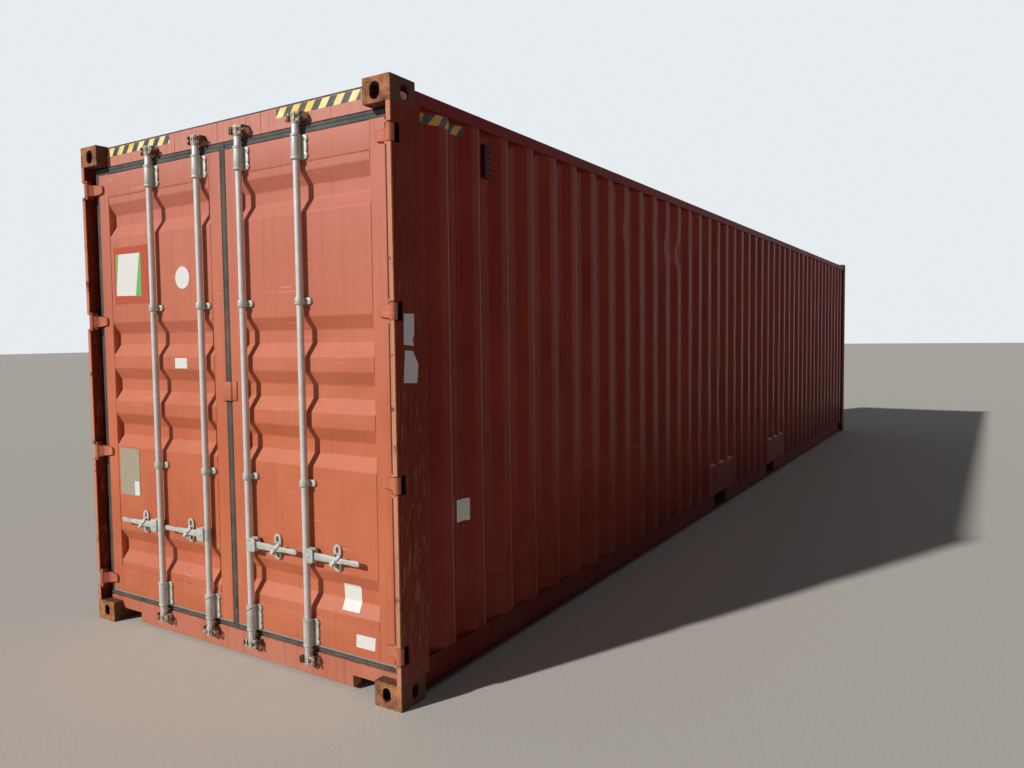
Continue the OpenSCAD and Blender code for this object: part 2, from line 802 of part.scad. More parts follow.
// Moving half of the hinges: knuckle, arm and blade that narrows to its end
module hinges() {
    seat = leaf_d - pin_d;
    end = hinge_reach + hinge_blade_l;
    root = knuckle_r + 4;
    fan = [[-knuckle_r, 0], [root - 6, 0], [root, hinge_h * 0.08], [end - 10, hinge_h * 0.2], [end, hinge_h * 0.3],
        [end, hinge_h * 0.7], [end - 10, hinge_h * 0.8], [root, hinge_h * 0.92], [root - 6, hinge_h], [-knuckle_r, hinge_h]];
    arm = [[14, -10], [38, seat - hinge_t - 8], [50, seat - hinge_t - 3], [hinge_reach + 3, seat - hinge_t],
        [end, seat - hinge_t], [end, seat], [hinge_reach - 7, seat], [-6, knuckle_r - 1]];
    for (z = hinge_zs) translate([pin_d - body_l / 2, half_w - pin_side, z - hinge_h / 2]) difference() {
        linear_extrude(hinge_h) {
            circle(r = knuckle_r, $fn = 64);
            polygon([for (p = arm) [p[1], -p[0]]]);
        }
        translate([0, 0, -cut]) cylinder(r = pin_r + pin_gap, h = hinge_h + 2 * cut, $fn = 48);
        translate([-2 * knuckle_r, 0, 0]) rotate([90, 0, 90]) linear_extrude(4 * knuckle_r + seat) difference() {
            translate([-end - cut, -cut]) square([end - root + 6 + cut, hinge_h + 2 * cut]);
            polygon([for (p = fan) [-p[0], p[1]]]);
        }
    }
}

// Guide of a lock bar: two flanges on the door and a round cover
module guide(z0, z1, base0, base1) {
    flange_t = 6;
    translate([bar_d - body_l / 2, 0, 0]) difference() {
        union() {
            translate([0, 0, z0]) cylinder(r = guide_r, h = z1 - z0, $fn = 64);
            translate([0, -guide_r, base0]) cube([leaf_d - bar_d, 2 * guide_r, base1 - base0]);
            translate([leaf_d - bar_d - flange_t, -guide_flange_w / 2, base0])
                cube([flange_t, guide_flange_w, base1 - base0]);
        }
        translate([0, 0, z0 - cut]) cylinder(r = bar_r + bar_gap, h = z1 - z0 + 2 * cut, $fn = 64);
    }
}

// Rest that a handle lies on, with a back plate that has a lobe above and below
module handle_rest() {
    back_t = 8;
    shelf_w = 15;
    shelf_top = handle_z - handle_h / 2 - 0.3;
    front = handle_d + 5;
    translate([leaf_d - back_t - body_l / 2, 0, handle_z]) rotate([0, 90, 0])
        linear_extrude(back_t) slot_2d(rest_h, rest_w);
    block(front, leaf_d, -shelf_w, shelf_w, shelf_top - 10, shelf_top);
    block(front, front + 8, -shelf_w, shelf_w, shelf_top - 26, shelf_top);
}

// Everything bolted on one door: guides, handle rests and its half of the lock plate
module fittings(seal_in, plate_w) {
    long_low = leaf_low + 4;
    long_top = leaf_top - 8;
    for (y = bar_ys) translate([0, y, 0]) {
        guide(long_low, long_low + guide_long_h + 18, long_low, long_low + guide_long_h + 18);
        guide(long_top - guide_long_h, long_top, long_top - guide_long_h, long_top);
        for (z = guide_zs)
            guide(z - guide_short_h / 2, z + guide_short_h / 2, z - guide_short_h / 2, z + guide_short_h / 2);
        translate([0, rest_y, 0]) handle_rest();
    }
    block(leaf_d - plate_t, leaf_d, seal_in, seal_in + plate_w, plate_z - plate_h / 2, plate_z + plate_h / 2);
}

// Outline of a cam with its hook along the second axis
module cam_2d() {
    tip_r = 11;
    circle(r = cam_r, $fn = 48);
    translate([-tip_r, 0]) square([2 * tip_r, cam_reach - tip_r]);
    translate([0, cam_reach - tip_r]) circle(r = tip_r, $fn = 32);
}

// Lock bar on the left with its two cams, its necks and the hub of its handle
module lock_bar(y) {
    neck_r = 20;
    neck_low = leaf_low + 2;
    neck_top = leaf_top - 6;
    hub_in = 8;
    hub_out = 62;
    hub_front = handle_d - 10.5;
    handle_back = handle_d + handle_t;
    translate([bar_d - body_l / 2, y, 0]) {
        translate([0, 0, bar_low_z]) cylinder(r = bar_r, h = bar_top_z - bar_low_z, $fn = 64);
        translate([0, 0, bar_low_z]) linear_extrude(cam_h) cam_2d();
        translate([0, 0, bar_top_z - cam_h]) linear_extrude(cam_h) cam_2d();
        translate([0, 0, bar_low_z + cam_h]) cylinder(r = neck_r, h = neck_low - bar_low_z - cam_h, $fn = 48);
        translate([0, 0, neck_top]) cylinder(r = neck_r, h = bar_top_z - cam_h - neck_top, $fn = 48);
    }
    translate([0, y, 0]) {
        z0 = handle_z - hub_h / 2;
        z1 = handle_z + hub_h / 2;
        block(hub_front, bar_d + 16, hub_in, handle_pin_y - 19, z0, z1);
        block(handle_back + 0.5, bar_d + 16, hub_in, hub_out, z0, z1);
        block(hub_front, handle_d - 0.5, hub_in, hub_out, z0, z1);
        translate([hub_front - body_l / 2, handle_pin_y, handle_z]) rotate([0, 90, 0])
            cylinder(r = handle_pin_r, h = bar_d + 16 - hub_front, $fn = 48);
    }
}

// Handle on the left, pointing away from its bar, with its swing catch in front
module lock_handle(y) {
    root_r = 16;
    grip_h = handle_h - 6;
    tip = grip_h / 2;
    translate([handle_d - body_l / 2, y, handle_z]) {
        rotate([90, 0, 90]) difference() {
            linear_extrude(handle_t) {
                translate([handle_pin_y, 0]) circle(r = root_r, $fn = 48);
                polygon([[handle_pin_y, -handle_h / 2], [rest_y + 40, -handle_h / 2], [rest_y + 60, -grip_h / 2],
                    [handle_l - tip, -tip], [handle_l - tip / 3, -tip * 0.7], [handle_l, -tip / 4],
                    [handle_l, tip / 4], [handle_l - tip / 3, tip * 0.7], [handle_l - tip, tip],
                    [rest_y + 60, grip_h / 2], [rest_y + 40, handle_h / 2], [handle_pin_y, handle_h / 2]]);
            }
            translate([handle_pin_y, 0, -cut])
                cylinder(r = handle_pin_r + pin_gap, h = handle_t + 2 * cut, $fn = 48);
        }
        translate([-catch_t, rest_y, 0]) rotate([0, 90, 0]) rotate([0, 0, 45])
            linear_extrude(catch_t + cut) slot_2d(catch_l, catch_w);
    }
}

module left_door_leaf() {
    color(paint) leaf(left_leaf_in);
}

module right_door_leaf() {
    color(paint) on_side(1) leaf(right_leaf_in);
}

module left_door_seal() {
    color(rubber) seal(left_leaf_in, left_seal_in);
}

module right_door_seal() {
    color(rubber) on_side(1) seal(right_leaf_in, right_seal_in);
}

module left_door_hinges() {
    color(paint) hinges();
}

module right_door_hinges() {
    color(paint) on_side(1) hinges();
}

module left_door_fittings() {
    color(zinc) fittings(left_seal_in, plate_left_w);
}

module right_door_fittings() {
    color(zinc) on_side(1) fittings(right_seal_in, plate_right_w);
}

// Bars and handles are numbered from the left, seen from outside the doors
module numbered_bar(i) {
    color(zinc) on_side(i > 2 ? 1 : 0) lock_bar(i == 1 || i == 4 ? bar_out_y : bar_in_y);
}

module numbered_handle(i) {
    color(zinc) on_side(i > 2 ? 1 : 0) lock_handle(i == 1 || i == 4 ? bar_out_y : bar_in_y);
}

door_castings_top();
door_castings_bottom();
front_castings_top();
front_castings_bottom();
door_post_left();
door_post_right();
front_post_left();
front_post_right();
door_header();
door_sill();
front_top_rail();
front_bottom_rail();
top_rail_left();
top_rail_right();
bottom_rail_left();
bottom_rail_right();
side_wall_left();
side_wall_right();
front_wall();
roof_sheet();
roof_corner_plates();
floor_boards();
cross_members();
fork_pockets();
neck_tunnel();
fork_cover_plates();
ventilators();
lock_keepers();
left_door_leaf();
left_door_seal();
left_door_hinges();
left_door_fittings();
right_door_leaf();
right_door_seal();
right_door_hinges();
right_door_fittings();
numbered_bar(1);  // lock_bar_1
numbered_bar(2);  // lock_bar_2
numbered_bar(3);  // lock_bar_3
numbered_bar(4);  // lock_bar_4
numbered_handle(1);  // lock_handle_1
numbered_handle(2);  // lock_handle_2
numbered_handle(3);  // lock_handle_3
numbered_handle(4);  // lock_handle_4
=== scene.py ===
"""Looks of a forty foot high cube freight container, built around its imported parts.

All sizes are in metres in the part's own frame: X runs along the box with the doors at its
low end, Y across it with the left side positive, and Z up from the ground. Left and right are
as seen from outside the doors.
"""
import logging
import math
import random
from dataclasses import dataclass, field
from enum import Enum
from typing import Callable, Iterable, Optional, Sequence

import bmesh
import bpy
from mathutils import Matrix, Vector, noise


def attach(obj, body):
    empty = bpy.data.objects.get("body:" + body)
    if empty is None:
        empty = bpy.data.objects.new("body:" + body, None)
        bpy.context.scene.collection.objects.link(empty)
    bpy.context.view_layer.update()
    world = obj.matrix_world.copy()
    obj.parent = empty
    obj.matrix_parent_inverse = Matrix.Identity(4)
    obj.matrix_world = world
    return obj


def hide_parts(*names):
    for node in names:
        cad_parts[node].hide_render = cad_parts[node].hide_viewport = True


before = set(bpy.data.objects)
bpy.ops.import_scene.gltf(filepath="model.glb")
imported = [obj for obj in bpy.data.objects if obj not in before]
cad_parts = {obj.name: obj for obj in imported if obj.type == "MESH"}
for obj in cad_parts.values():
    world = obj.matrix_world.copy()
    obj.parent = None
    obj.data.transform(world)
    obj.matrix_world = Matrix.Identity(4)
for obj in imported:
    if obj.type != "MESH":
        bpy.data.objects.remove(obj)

LOG = logging.getLogger("container")
MM = 0.001
HALF_L = 6.096  # Half the length of the box
WALL_BASE = 1.178  # From the middle to the inner flats of a side wall
SIDE_PITCH = 0.278  # From one ridge of a side wall to the next
BAR_D = 0.030  # Depth of the lock bars
BAR_R = 0.017  # Radius of the lock bars
BARS = (0.594, 0.171)  # From the middle to the bars of one door
CAM_H = 0.047  # Height of a cam and of its keeper
LEAF_D = 0.058  # Depth of the front of a door
LEAF_OUTER = 1.138  # From the middle to the hinge edge of a door
LEAF_LOW = 0.176  # Lower edge of a door
LEAF_HIGH = 2.729  # Upper edge of a door
HANDLE_Z = 0.650  # Height of the handles

Point = tuple[float, float]
Point3 = tuple[float, float, float]
Tone = str | bpy.types.NodeSocket


class Side(Enum):
    """Which side of the box a piece is on."""

    LEFT = 1
    RIGHT = -1


class Axis(Enum):
    """Direction in which an outline is drawn out."""

    X = "x"
    Y = "y"
    Z = "z"

    def point(self, a: float, b: float, c: float) -> Point3:
        """Returns the point at outline place a, b and at c along this axis."""
        if self is Axis.X:
            return c, a, b
        if self is Axis.Y:
            return a, c, b
        return a, b, c


class Slot(Enum):
    """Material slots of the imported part."""

    WALL = "wall_paint"
    FRAME = "frame_paint"
    RUST = "rusted_casting"
    ZINC = "galvanised"
    RUBBER = "seal_rubber"
    TIMBER = "floor_timber"


def door_x(depth: float) -> float:
    """Returns the X of a depth measured from the door end face."""
    return depth - HALF_L


def linear(code: str) -> tuple[float, float, float, float]:
    """Turns an sRGB hex code into a linear colour.

    Args:
        code: Six hex digits with a leading hash.

    Returns:
        Red, green, blue and an alpha of one.
    """
    parts = [int(code[i : i + 2], 16) / 255 for i in (1, 3, 5)]
    out = [c / 12.92 if c <= 0.04045 else ((c + 0.055) / 1.055) ** 2.4 for c in parts]
    return out[0], out[1], out[2], 1.0


def add(tree: bpy.types.NodeTree, kind: str, values: Optional[dict] = None, out: str = "",
        **settings) -> Optional[bpy.types.NodeSocket]:
    """Adds one node with its settings and links.

    Args:
        tree: The node tree that gets the node.
        kind: The node's type name.
        values: Input name or index to a value, an sRGB hex code, or the output socket that feeds it.
        out: Name of the output that is wanted, or nothing for the first one in use.
        **settings: Attributes to set on the node itself.

    Returns:
        The output socket, or None where the node has none.
    """
    node = tree.nodes.new(kind)
    for key, value in settings.items():
        setattr(node, key, value)
    for key, value in (values or {}).items():
        if isinstance(value, bpy.types.NodeSocket):
            tree.links.new(value, node.inputs[key])
        else:
            node.inputs[key].default_value = linear(value) if isinstance(value, str) else value
    return node.outputs[out] if out else next((socket for socket in node.outputs if socket.enabled), None)


def link(name: str, data: bpy.types.ID) -> bpy.types.Object:
    """Makes an object of a mesh, lamp or camera and puts it in the scene."""
    thing = bpy.data.objects.new(name, data)
    bpy.context.scene.collection.objects.link(thing)
    return thing


def bend(points: Sequence[Point], radius: float, steps: int = 3, closed: bool = False) -> list[Point]:
    """Rounds the corners of a line or an outline, as a press brake does.

    Args:
        points: Corner points in order.
        radius: Bend radius.
        steps: Segments in each bend.
        closed: True for an outline, whose last point joins its first.

    Returns:
        The points of the rounded line.
    """
    out = []
    count = len(points)
    for i, corner in enumerate(points):
        if not closed and i in (0, count - 1):
            out.append(tuple(corner))
            continue
        here = Vector(corner)
        back = Vector(points[i - 1]) - here
        ahead = Vector(points[(i + 1) % count]) - here
        turn = math.pi - back.angle(ahead)
        if turn < 0.02:
            out.append(tuple(corner))
            continue
        cut = min(radius * math.tan(turn / 2), 0.45 * back.length, 0.45 * ahead.length)
        start = here + back.normalized() * cut
        end = here + ahead.normalized() * cut
        for step in range(steps + 1):
            t = step / steps
            out.append(tuple(start * (1 - t) ** 2 + here * 2 * t * (1 - t) + end * t * t))
    return out


def box_outline(low: Point, high: Point, radius: float, steps: int = 3) -> list[Point]:
    """Returns the outline of a rectangle with rounded corners."""
    corners = [low, (high[0], low[1]), high, (low[0], high[1])]
    return bend(corners, radius, steps, closed=True)


def arc(centre: Point, radius: float, start: float, end: float, steps: int) -> list[Point]:
    """Returns points on an arc between two angles given in degrees."""
    angles = [math.radians(start + (end - start) * i / steps) for i in range(steps + 1)]
    return [(centre[0] + radius * math.cos(a), centre[1] + radius * math.sin(a)) for a in angles]


def capsule(centre: Point, length: float, width: float, tilt: float = 0.0, steps: int = 8) -> list[Point]:
    """Outlines a slot with round ends.

    Args:
        centre: Middle of the slot.
        length: Length over the round ends, along the first axis before the tilt.
        width: Width of the slot.
        tilt: Turn in degrees.
        steps: Segments in each round end.

    Returns:
        The closed outline.
    """
    reach = (length - width) / 2
    ends = arc((reach, 0), width / 2, -90, 90, steps) + arc((-reach, 0), width / 2, 90, 270, steps)
    c, s = math.cos(math.radians(tilt)), math.sin(math.radians(tilt))
    return [(centre[0] + x * c - y * s, centre[1] + x * s + y * c) for x, y in ends]


def beside(points: Sequence[Point], distance: float) -> list[Point]:
    """Moves an open line sideways by a distance, to the left of its direction."""
    out = []
    for i, point in enumerate(points):
        back = Vector(point) - Vector(points[i - 1]) if i else None
        ahead = Vector(points[i + 1]) - Vector(point) if i + 1 < len(points) else None
        normals = [Vector((-v.y, v.x)).normalized() for v in (back, ahead) if v is not None and v.length > 0]
        middle = sum(normals, Vector((0, 0))).normalized()
        out.append(tuple(Vector(point) + middle * (distance / max(middle.dot(normals[0]), 0.3))))
    return out


def fold(middle: float, flat: float, slope: float, base: float, rise: float) -> list[Point]:
    """Returns the four corners of one pressed ridge or groove, as place along and height."""
    return [(middle + way * (flat / 2 + (1 - up) * slope), base + up * rise)
            for way, up in ((-1, 0), (-1, 1), (1, 1), (1, 0))]


def along(line: Sequence[Point], u: float) -> Point:
    """Returns the point of a folded line at a place along it."""
    for (u0, w0), (u1, w1) in zip(line, line[1:]):
        if u0 <= u <= u1 and u1 > u0:
            return u, w0 + (w1 - w0) * (u - u0) / (u1 - u0)
    return line[-1]


def stretch(line: Sequence[Point], start: float, end: float) -> list[Point]:
    """Returns the part of a folded line between two places along it."""
    return [along(line, start), *((u, w) for u, w in line if start < u < end), along(line, end)]


class Mould:
    """Gathers the shapes of one piece and turns them into an object.

    Shapes are drawn for the left side. A mould for the right side mirrors them.
    """

    def __init__(self, side: Side = Side.LEFT) -> None:
        """Starts an empty mould.

        Args:
            side: The side that the shapes are for.
        """
        self.mesh = bmesh.new()
        self.sign = side.value

    def row(self, points: Iterable[Point3]) -> list[bmesh.types.BMVert]:
        """Adds one row of points on the mould's side."""
        return [self.mesh.verts.new((x, y * self.sign, z)) for x, y, z in points]

    def join(self, a: Sequence[bmesh.types.BMVert], b: Sequence[bmesh.types.BMVert], closed: bool = False) -> None:
        """Joins two rows with faces, and their ends too when closed."""
        size = len(a)
        for i in range(size if closed else size - 1):
            j = (i + 1) % size
            self.mesh.faces.new((a[i], a[j], b[j], b[i]))

    def skin(self, rings: Sequence[Sequence[Point3]], looped: bool = False) -> None:
        """Joins rings of points with faces.

        Args:
            rings: Rings with the same count of points each.
            looped: Whether the last ring joins the first, or both are filled.
        """
        rows = [self.row(ring) for ring in rings]
        for a, b in zip(rows, rows[1:] + rows[:1] if looped else rows[1:]):
            self.join(a, b, closed=True)
        if not looped:
            self.mesh.faces.new(rows[0])
            self.mesh.faces.new(rows[-1])

    def prism(self, outline: Sequence[Point], axis: Axis, start: float, end: float) -> None:
        """Draws an outline out along an axis from start to end."""
        self.skin([[axis.point(a, b, c) for a, b in outline] for c in (start, end)])

    def ring(self, outer: Sequence[Point], inner: Sequence[Point], axis: Axis, start: float, end: float) -> None:
        """Draws out the band between two outlines of the same count of points."""
        loops = [(outer, start), (outer, end), (inner, end), (inner, start)]
        self.skin([[axis.point(a, b, c) for a, b in line] for line, c in loops], looped=True)

    def block(self, low: Point3, high: Point3) -> None:
        """Adds a block between two corners."""
        self.prism([(low[0], low[1]), (high[0], low[1]), (high[0], high[1]), (low[0], high[1])], Axis.Z,
                   low[2], high[2])

    def turned(self, profile: Sequence[Point], centre: Point, axis: Axis, sides: int = 24,
               phase: float = 0.0) -> None:
        """Turns a profile round an axis, as a lathe does.

        Args:
            profile: Radius and place along the axis for each step.
            centre: Place of the axis in the plane across it.
            axis: Direction of the axis.
            sides: Faces round the piece.
            phase: Angle of the first point in degrees.
        """
        rings = []
        for radius, along in profile:
            circle = arc(centre, max(radius, 0.05 * MM), phase, phase + 360 * (sides - 1) / sides, sides - 1)
            rings.append([axis.point(a, b, along) for a, b in circle])
        self.skin(rings)

    def rivet(self, centre: Point, at: float, radius: float, height: float) -> None:
        """Adds a domed rivet head that stands out from at along X by height, which may be negative."""
        steps = [(1.0, 0.0), (0.96, 0.35), (0.74, 0.75), (0.4, 0.95), (0.0, 1.0)]
        self.turned([(radius * r, at + height * h) for r, h in steps], centre, Axis.X, 12)

    def bolt(self, centre: Point, at: float, radius: float, height: float, turn: float) -> None:
        """Adds a hexagon bolt head on a round washer, along X."""
        self.turned([(radius * 1.25, at), (radius * 1.25, at + 0.25 * height)], centre, Axis.X, 16)
        self.turned([(radius, at + 0.2 * height), (radius, at + 0.85 * height), (radius * 0.85, at + height)],
                    centre, Axis.X, 6, turn)

    def tube(self, path: Sequence[Point3], radius: float, sides: int = 6, closed: bool = False) -> None:
        """Lays a round bead or wire along a path.

        Args:
            path: Points that the middle of the bead follows.
            radius: Radius of the bead.
            sides: Faces round it.
            closed: Whether the path's end joins its start.
        """
        rings = []
        count = len(path)
        for i, point in enumerate(path):
            before = Vector(path[i - 1] if i or closed else path[0])
            after = Vector(path[(i + 1) % count] if i + 1 < count or closed else path[-1])
            along = (after - before).normalized()
            guide = Vector((0, 0, 1)) if abs(along.z) < 0.9 else Vector((1, 0, 0))
            across = along.cross(guide).normalized()
            up = across.cross(along)
            turns = [2 * math.pi * k / sides for k in range(sides)]
            rings.append([tuple(Vector(point) + (across * math.cos(t) + up * math.sin(t)) * radius) for t in turns])
        self.skin(rings, looped=closed)

    def sheet(self, profile: Sequence[Point], rows: Sequence[float], thick: float,
              place: Callable[[float, float, float], Point3],
              shift: Optional[Callable[[float, float], float]] = None) -> None:
        """Adds a folded sheet with both of its faces and its rims.

        Args:
            profile: Points across the folds, as length and height.
            rows: Places along the folds.
            thick: Thickness, laid to the left of the profile's direction when positive.
            place: Turns length, height and row into a point.
            shift: Extra height at a length and a row, such as a dent.
        """
        grids = []
        for line in (profile, beside(profile, thick)):
            grid = []
            for v in rows:
                lift = [shift(u, v) if shift else 0.0 for u, _ in profile]
                grid.append(self.row(place(u, w + d, v) for (u, w), d in zip(line, lift)))
            grids.append(grid)
            for a, b in zip(grid, grid[1:]):
                self.join(a, b)
        front, back = grids
        for end in (0, -1):
            self.join(front[end], back[end])
        for column in (0, -1):
            self.join([row[column] for row in front], [row[column] for row in back])

    def done(self, name: str, body: str, slot: Slot, material: bpy.types.Material,
             replaces: Sequence[str] = (), bevel: float = 0.0, angle: float = 35.0) -> bpy.types.Object:
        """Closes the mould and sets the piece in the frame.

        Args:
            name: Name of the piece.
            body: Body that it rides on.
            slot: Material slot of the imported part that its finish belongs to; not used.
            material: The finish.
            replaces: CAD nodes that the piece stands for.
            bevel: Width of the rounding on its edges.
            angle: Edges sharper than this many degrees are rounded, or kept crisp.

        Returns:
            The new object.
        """
        shape = self.mesh
        bmesh.ops.recalc_face_normals(shape, faces=shape.faces)
        if bevel:
            limit = math.radians(angle)
            edges = [e for e in shape.edges if e.is_manifold and e.calc_face_angle(0.0) > limit]
            bmesh.ops.bevel(shape, geom=edges, offset=bevel, offset_type="OFFSET", segments=2, profile=0.5,
                            affect="EDGES", clamp_overlap=True)
        mesh = bpy.data.meshes.new(name)
        shape.to_mesh(mesh)
        shape.free()
        mesh.polygons.foreach_set("use_smooth", [True] * len(mesh.polygons))
        mesh.set_sharp_from_angle(angle=math.radians(angle))
        mesh.materials.append(material)
        piece = link(name, mesh)
        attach(piece, body)
        if replaces:
            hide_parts(*replaces)
        LOG.info("%s: %d faces on %s", name, len(mesh.polygons), body)
        return piece


def stain(tree: bpy.types.NodeTree, under: Tone, over: Tone, place: bpy.types.NodeSocket, scale: float,
          detail: float, low: float, high: float, most: float | bpy.types.NodeSocket = 1.0,
          roughness: float = 0.5, distortion: float = 0.0) -> tuple[bpy.types.NodeSocket, bpy.types.NodeSocket]:
    """Lays a second colour over a first one in clouds of noise.

    Args:
        tree: The material's node tree.
        under: Colour or link below.
        over: Colour or link on top.
        place: Place in metres that the clouds follow.
        scale: Clouds in a metre.
        detail: Octaves of the noise.
        low: Noise value where the second colour starts.
        high: Noise value where it is at its most.
        most: Its highest share.
        roughness: Share that each octave keeps.
        distortion: How far the clouds are pulled about.

    Returns:
        The mixed colour and the bare noise.
    """
    fac = add(tree, "ShaderNodeTexNoise", {"Vector": place, "Scale": scale, "Detail": detail,
                                           "Roughness": roughness, "Distortion": distortion})
    mask = add(tree, "ShaderNodeMapRange", {"Value": fac, "From Min": low, "From Max": high, "To Max": most})
    return add(tree, "ShaderNodeMix", {0: mask, 6: under, 7: over}, data_type="RGBA"), fac


def relief(tree: bpy.types.NodeTree, height: bpy.types.NodeSocket, strength: float, distance: float,
           rounding: float = 0.0) -> bpy.types.NodeSocket:
    """Returns a bumped normal, over edges that look rounded when a rounding is given."""
    values = {"Height": height, "Strength": strength, "Distance": distance}
    if rounding:
        values["Normal"] = add(tree, "ShaderNodeBevel", {"Radius": rounding}, samples=4)
    return add(tree, "ShaderNodeBump", values)


class Finish:
    """Shared start and end of each node material."""

    title: str

    def shade(self, tree: bpy.types.NodeTree, place: bpy.types.NodeSocket) -> dict:
        """Adds the pattern nodes.

        Args:
            tree: The material's node tree.
            place: Place in metres that the patterns follow.

        Returns:
            Values and links of the shader's sockets.
        """
        raise NotImplementedError

    def build(self) -> bpy.types.Material:
        """Makes the node material.

        Returns:
            The finished material.
        """
        material = bpy.data.materials.new(self.title)
        material.use_nodes = True
        tree = material.node_tree
        tree.nodes.clear()
        place = add(tree, "ShaderNodeTexCoord", out="Object")
        shader = add(tree, "ShaderNodeBsdfPrincipled", self.shade(tree, place))
        add(tree, "ShaderNodeOutputMaterial", {"Surface": shader})
        return material


@dataclass(frozen=True)
class ContainerPaint(Finish):
    """Sprayed alkyd paint on rolled weathering steel.

    It gives a dull or glossy red-brown film with rust that bleeds from edges, pale scuffs where
    loads and locks have worn it, rain runs, and dust that settles low down. Where asked it also
    paints light and shade: a paler colour on the lit door end face than on the shaded faces, and
    a pale highlight along one corner of each wall ridge.

    Attributes:
        title: Name of the material.
        base: Fresh paint colour.
        faded: Paint colour where sun and dust have dulled it.
        rust: Dark colour of the rust.
        rust_light: Light colour of the rust.
        rust_share: How much of the surface rust reaches, from 0 to 1.
        scuff: Strength of the pale scuffs, from 0 to 1.
        scuff_tone: Colour of the scuffs.
        roughness: Mean roughness of the paint film.
        specular: Specular level of the film, 0.5 for fresh paint.
        edge_wear: Strength of the wear along edges, from 0 to 1.
        grime: Strength of the dust near the ground, from 0 to 1.
        strip_rust: Extra rust on the door end face of the posts, from 0 to 1.
        front: Paler paint colour on that face, painted as the light that falls on it, or nothing.
        top: Chalked paint colour that is reached 2.8 m up, or nothing.
        scratch: Strength of the upright scratches, from 0 to 1.
        ridge: Strength of the painted highlight, a pale line along a corner of each side wall ridge, from 0 to 1.
    """

    title: str
    base: str
    faded: str
    rust: str = "#3E1E12"
    rust_light: str = "#7A4226"
    rust_share: float = 0.25
    scuff: float = 0.35
    scuff_tone: str = "#C9A79A"
    roughness: float = 0.42
    specular: float = 0.5
    edge_wear: float = 0.3
    grime: float = 0.3
    strip_rust: float = 0.0
    front: str = ""
    top: str = ""
    scratch: float = 0.0
    ridge: float = 0.0

    def ridge_glint_mask(self, tree: bpy.types.NodeTree, along: bpy.types.NodeSocket, over: bpy.types.NodeSocket
               ) -> bpy.types.NodeSocket:
        """Returns the mask of the painted highlight on one corner of each ridge, from the places along and across the
        box.
        """
        # Painted highlight: a pale band 12 mm wide on one rounded corner of each ridge
        near = along
        for operation, value in (("MULTIPLY", 1 / SIDE_PITCH), ("FRACT", 0), ("SUBTRACT", 0.6295), ("ABSOLUTE", 0)):
            near = add(tree, "ShaderNodeMath", {0: near, 1: value}, operation=operation)
        glint = add(tree, "ShaderNodeMapRange", {"Value": near, "From Min": 0.036, "From Max": 0.010,
                                               "To Max": self.ridge})
        wide = add(tree, "ShaderNodeMath", {0: over}, operation="ABSOLUTE")
        outer = add(tree, "ShaderNodeMath", {0: wide, 1: WALL_BASE + 0.032, 2: 6 * MM}, operation="COMPARE")
        return add(tree, "ShaderNodeMath", {0: glint, 1: outer}, operation="MULTIPLY")

    def shade(self, tree: bpy.types.NodeTree, place: bpy.types.NodeSocket) -> dict:
        """Lays coat, wear, rust and dust over each other, and returns the shader's values."""
        along, over, up = add(tree, "ShaderNodeSeparateXYZ", {0: place}).node.outputs
        strip = add(tree, "ShaderNodeMath", {0: along, 1: door_x(7 * MM)}, operation="LESS_THAN")
        # Sun and rain dull the film in clouds about half a metre wide
        coat, cloud = stain(tree, self.base, self.faded, place, 1.9, 5, 0.36, 0.66, roughness=0.62)
        if self.top:
            rise = add(tree, "ShaderNodeMapRange", {"Value": up, "From Min": 1.2, "From Max": 2.8, "To Max": 0.8})
            coat = add(tree, "ShaderNodeMix", {0: rise, 6: coat, 7: self.top}, data_type="RGBA")
        # Painted light: the door end face gets the paler front colour
        if self.front:
            coat = add(tree, "ShaderNodeMix", {0: strip, 6: coat, 7: self.front}, data_type="RGBA")
        if self.scratch:
            # Upright scratches 5 to 15 mm wide and 100 mm long, coarser than real so that they show
            fine = add(tree, "ShaderNodeMapping", {"Vector": place, "Rotation": (0.03, 0.05, 0.0),
                                                   "Scale": (62, 62, 8)})
            fading = add(tree, "ShaderNodeMapRange", {"Value": up, "From Min": 2.4, "From Max": 0.6,
                                                      "To Min": 0.15, "To Max": self.scratch})
            coat, _ = stain(tree, coat, self.scuff_tone, fine, 1, 5, 0.52, 0.66, fading, 0.65, 1.1)
        # Painted highlight along the ridge corners, in the scuff colour
        if self.ridge:
            coat = add(tree, "ShaderNodeMix", {0: self.ridge_glint_mask(tree, along, over), 6: coat, 7: self.scuff_tone},
                       data_type="RGBA")
        # Rain runs: some 20 mm wide and up to 1 m long
        tall = add(tree, "ShaderNodeMapping", {"Vector": place, "Scale": (45, 45, 1.5)})
        coat, _ = stain(tree, coat, self.rust, tall, 1, 1, 0.5, 0.85, 0.1 + 0.6 * self.rust_share)
        # Scuffs: slanting lines 3 to 10 mm wide, in patches some 300 mm wide
        tilt = add(tree, "ShaderNodeMapping", {"Vector": place, "Rotation": (0.5, 0.25, 0.2), "Scale": (4, 4, 90)})
        line = add(tree, "ShaderNodeTexNoise", {"Vector": tilt, "Scale": 1, "Detail": 2, "Roughness": 0.5})
        line_mask = add(tree, "ShaderNodeMapRange", {"Value": line, "From Min": 0.67, "From Max": 0.72,
                                                     "To Max": self.scuff})
        patch = add(tree, "ShaderNodeTexNoise", {"Vector": place, "Scale": 3.1, "Detail": 1})
        patch_mask = add(tree, "ShaderNodeMapRange", {"Value": patch, "From Min": 0.54, "From Max": 0.62})
        scuff = add(tree, "ShaderNodeMath", {0: line_mask, 1: patch_mask}, operation="MULTIPLY")
        coat = add(tree, "ShaderNodeMix", {0: scuff, 6: coat, 7: self.scuff_tone}, data_type="RGBA")
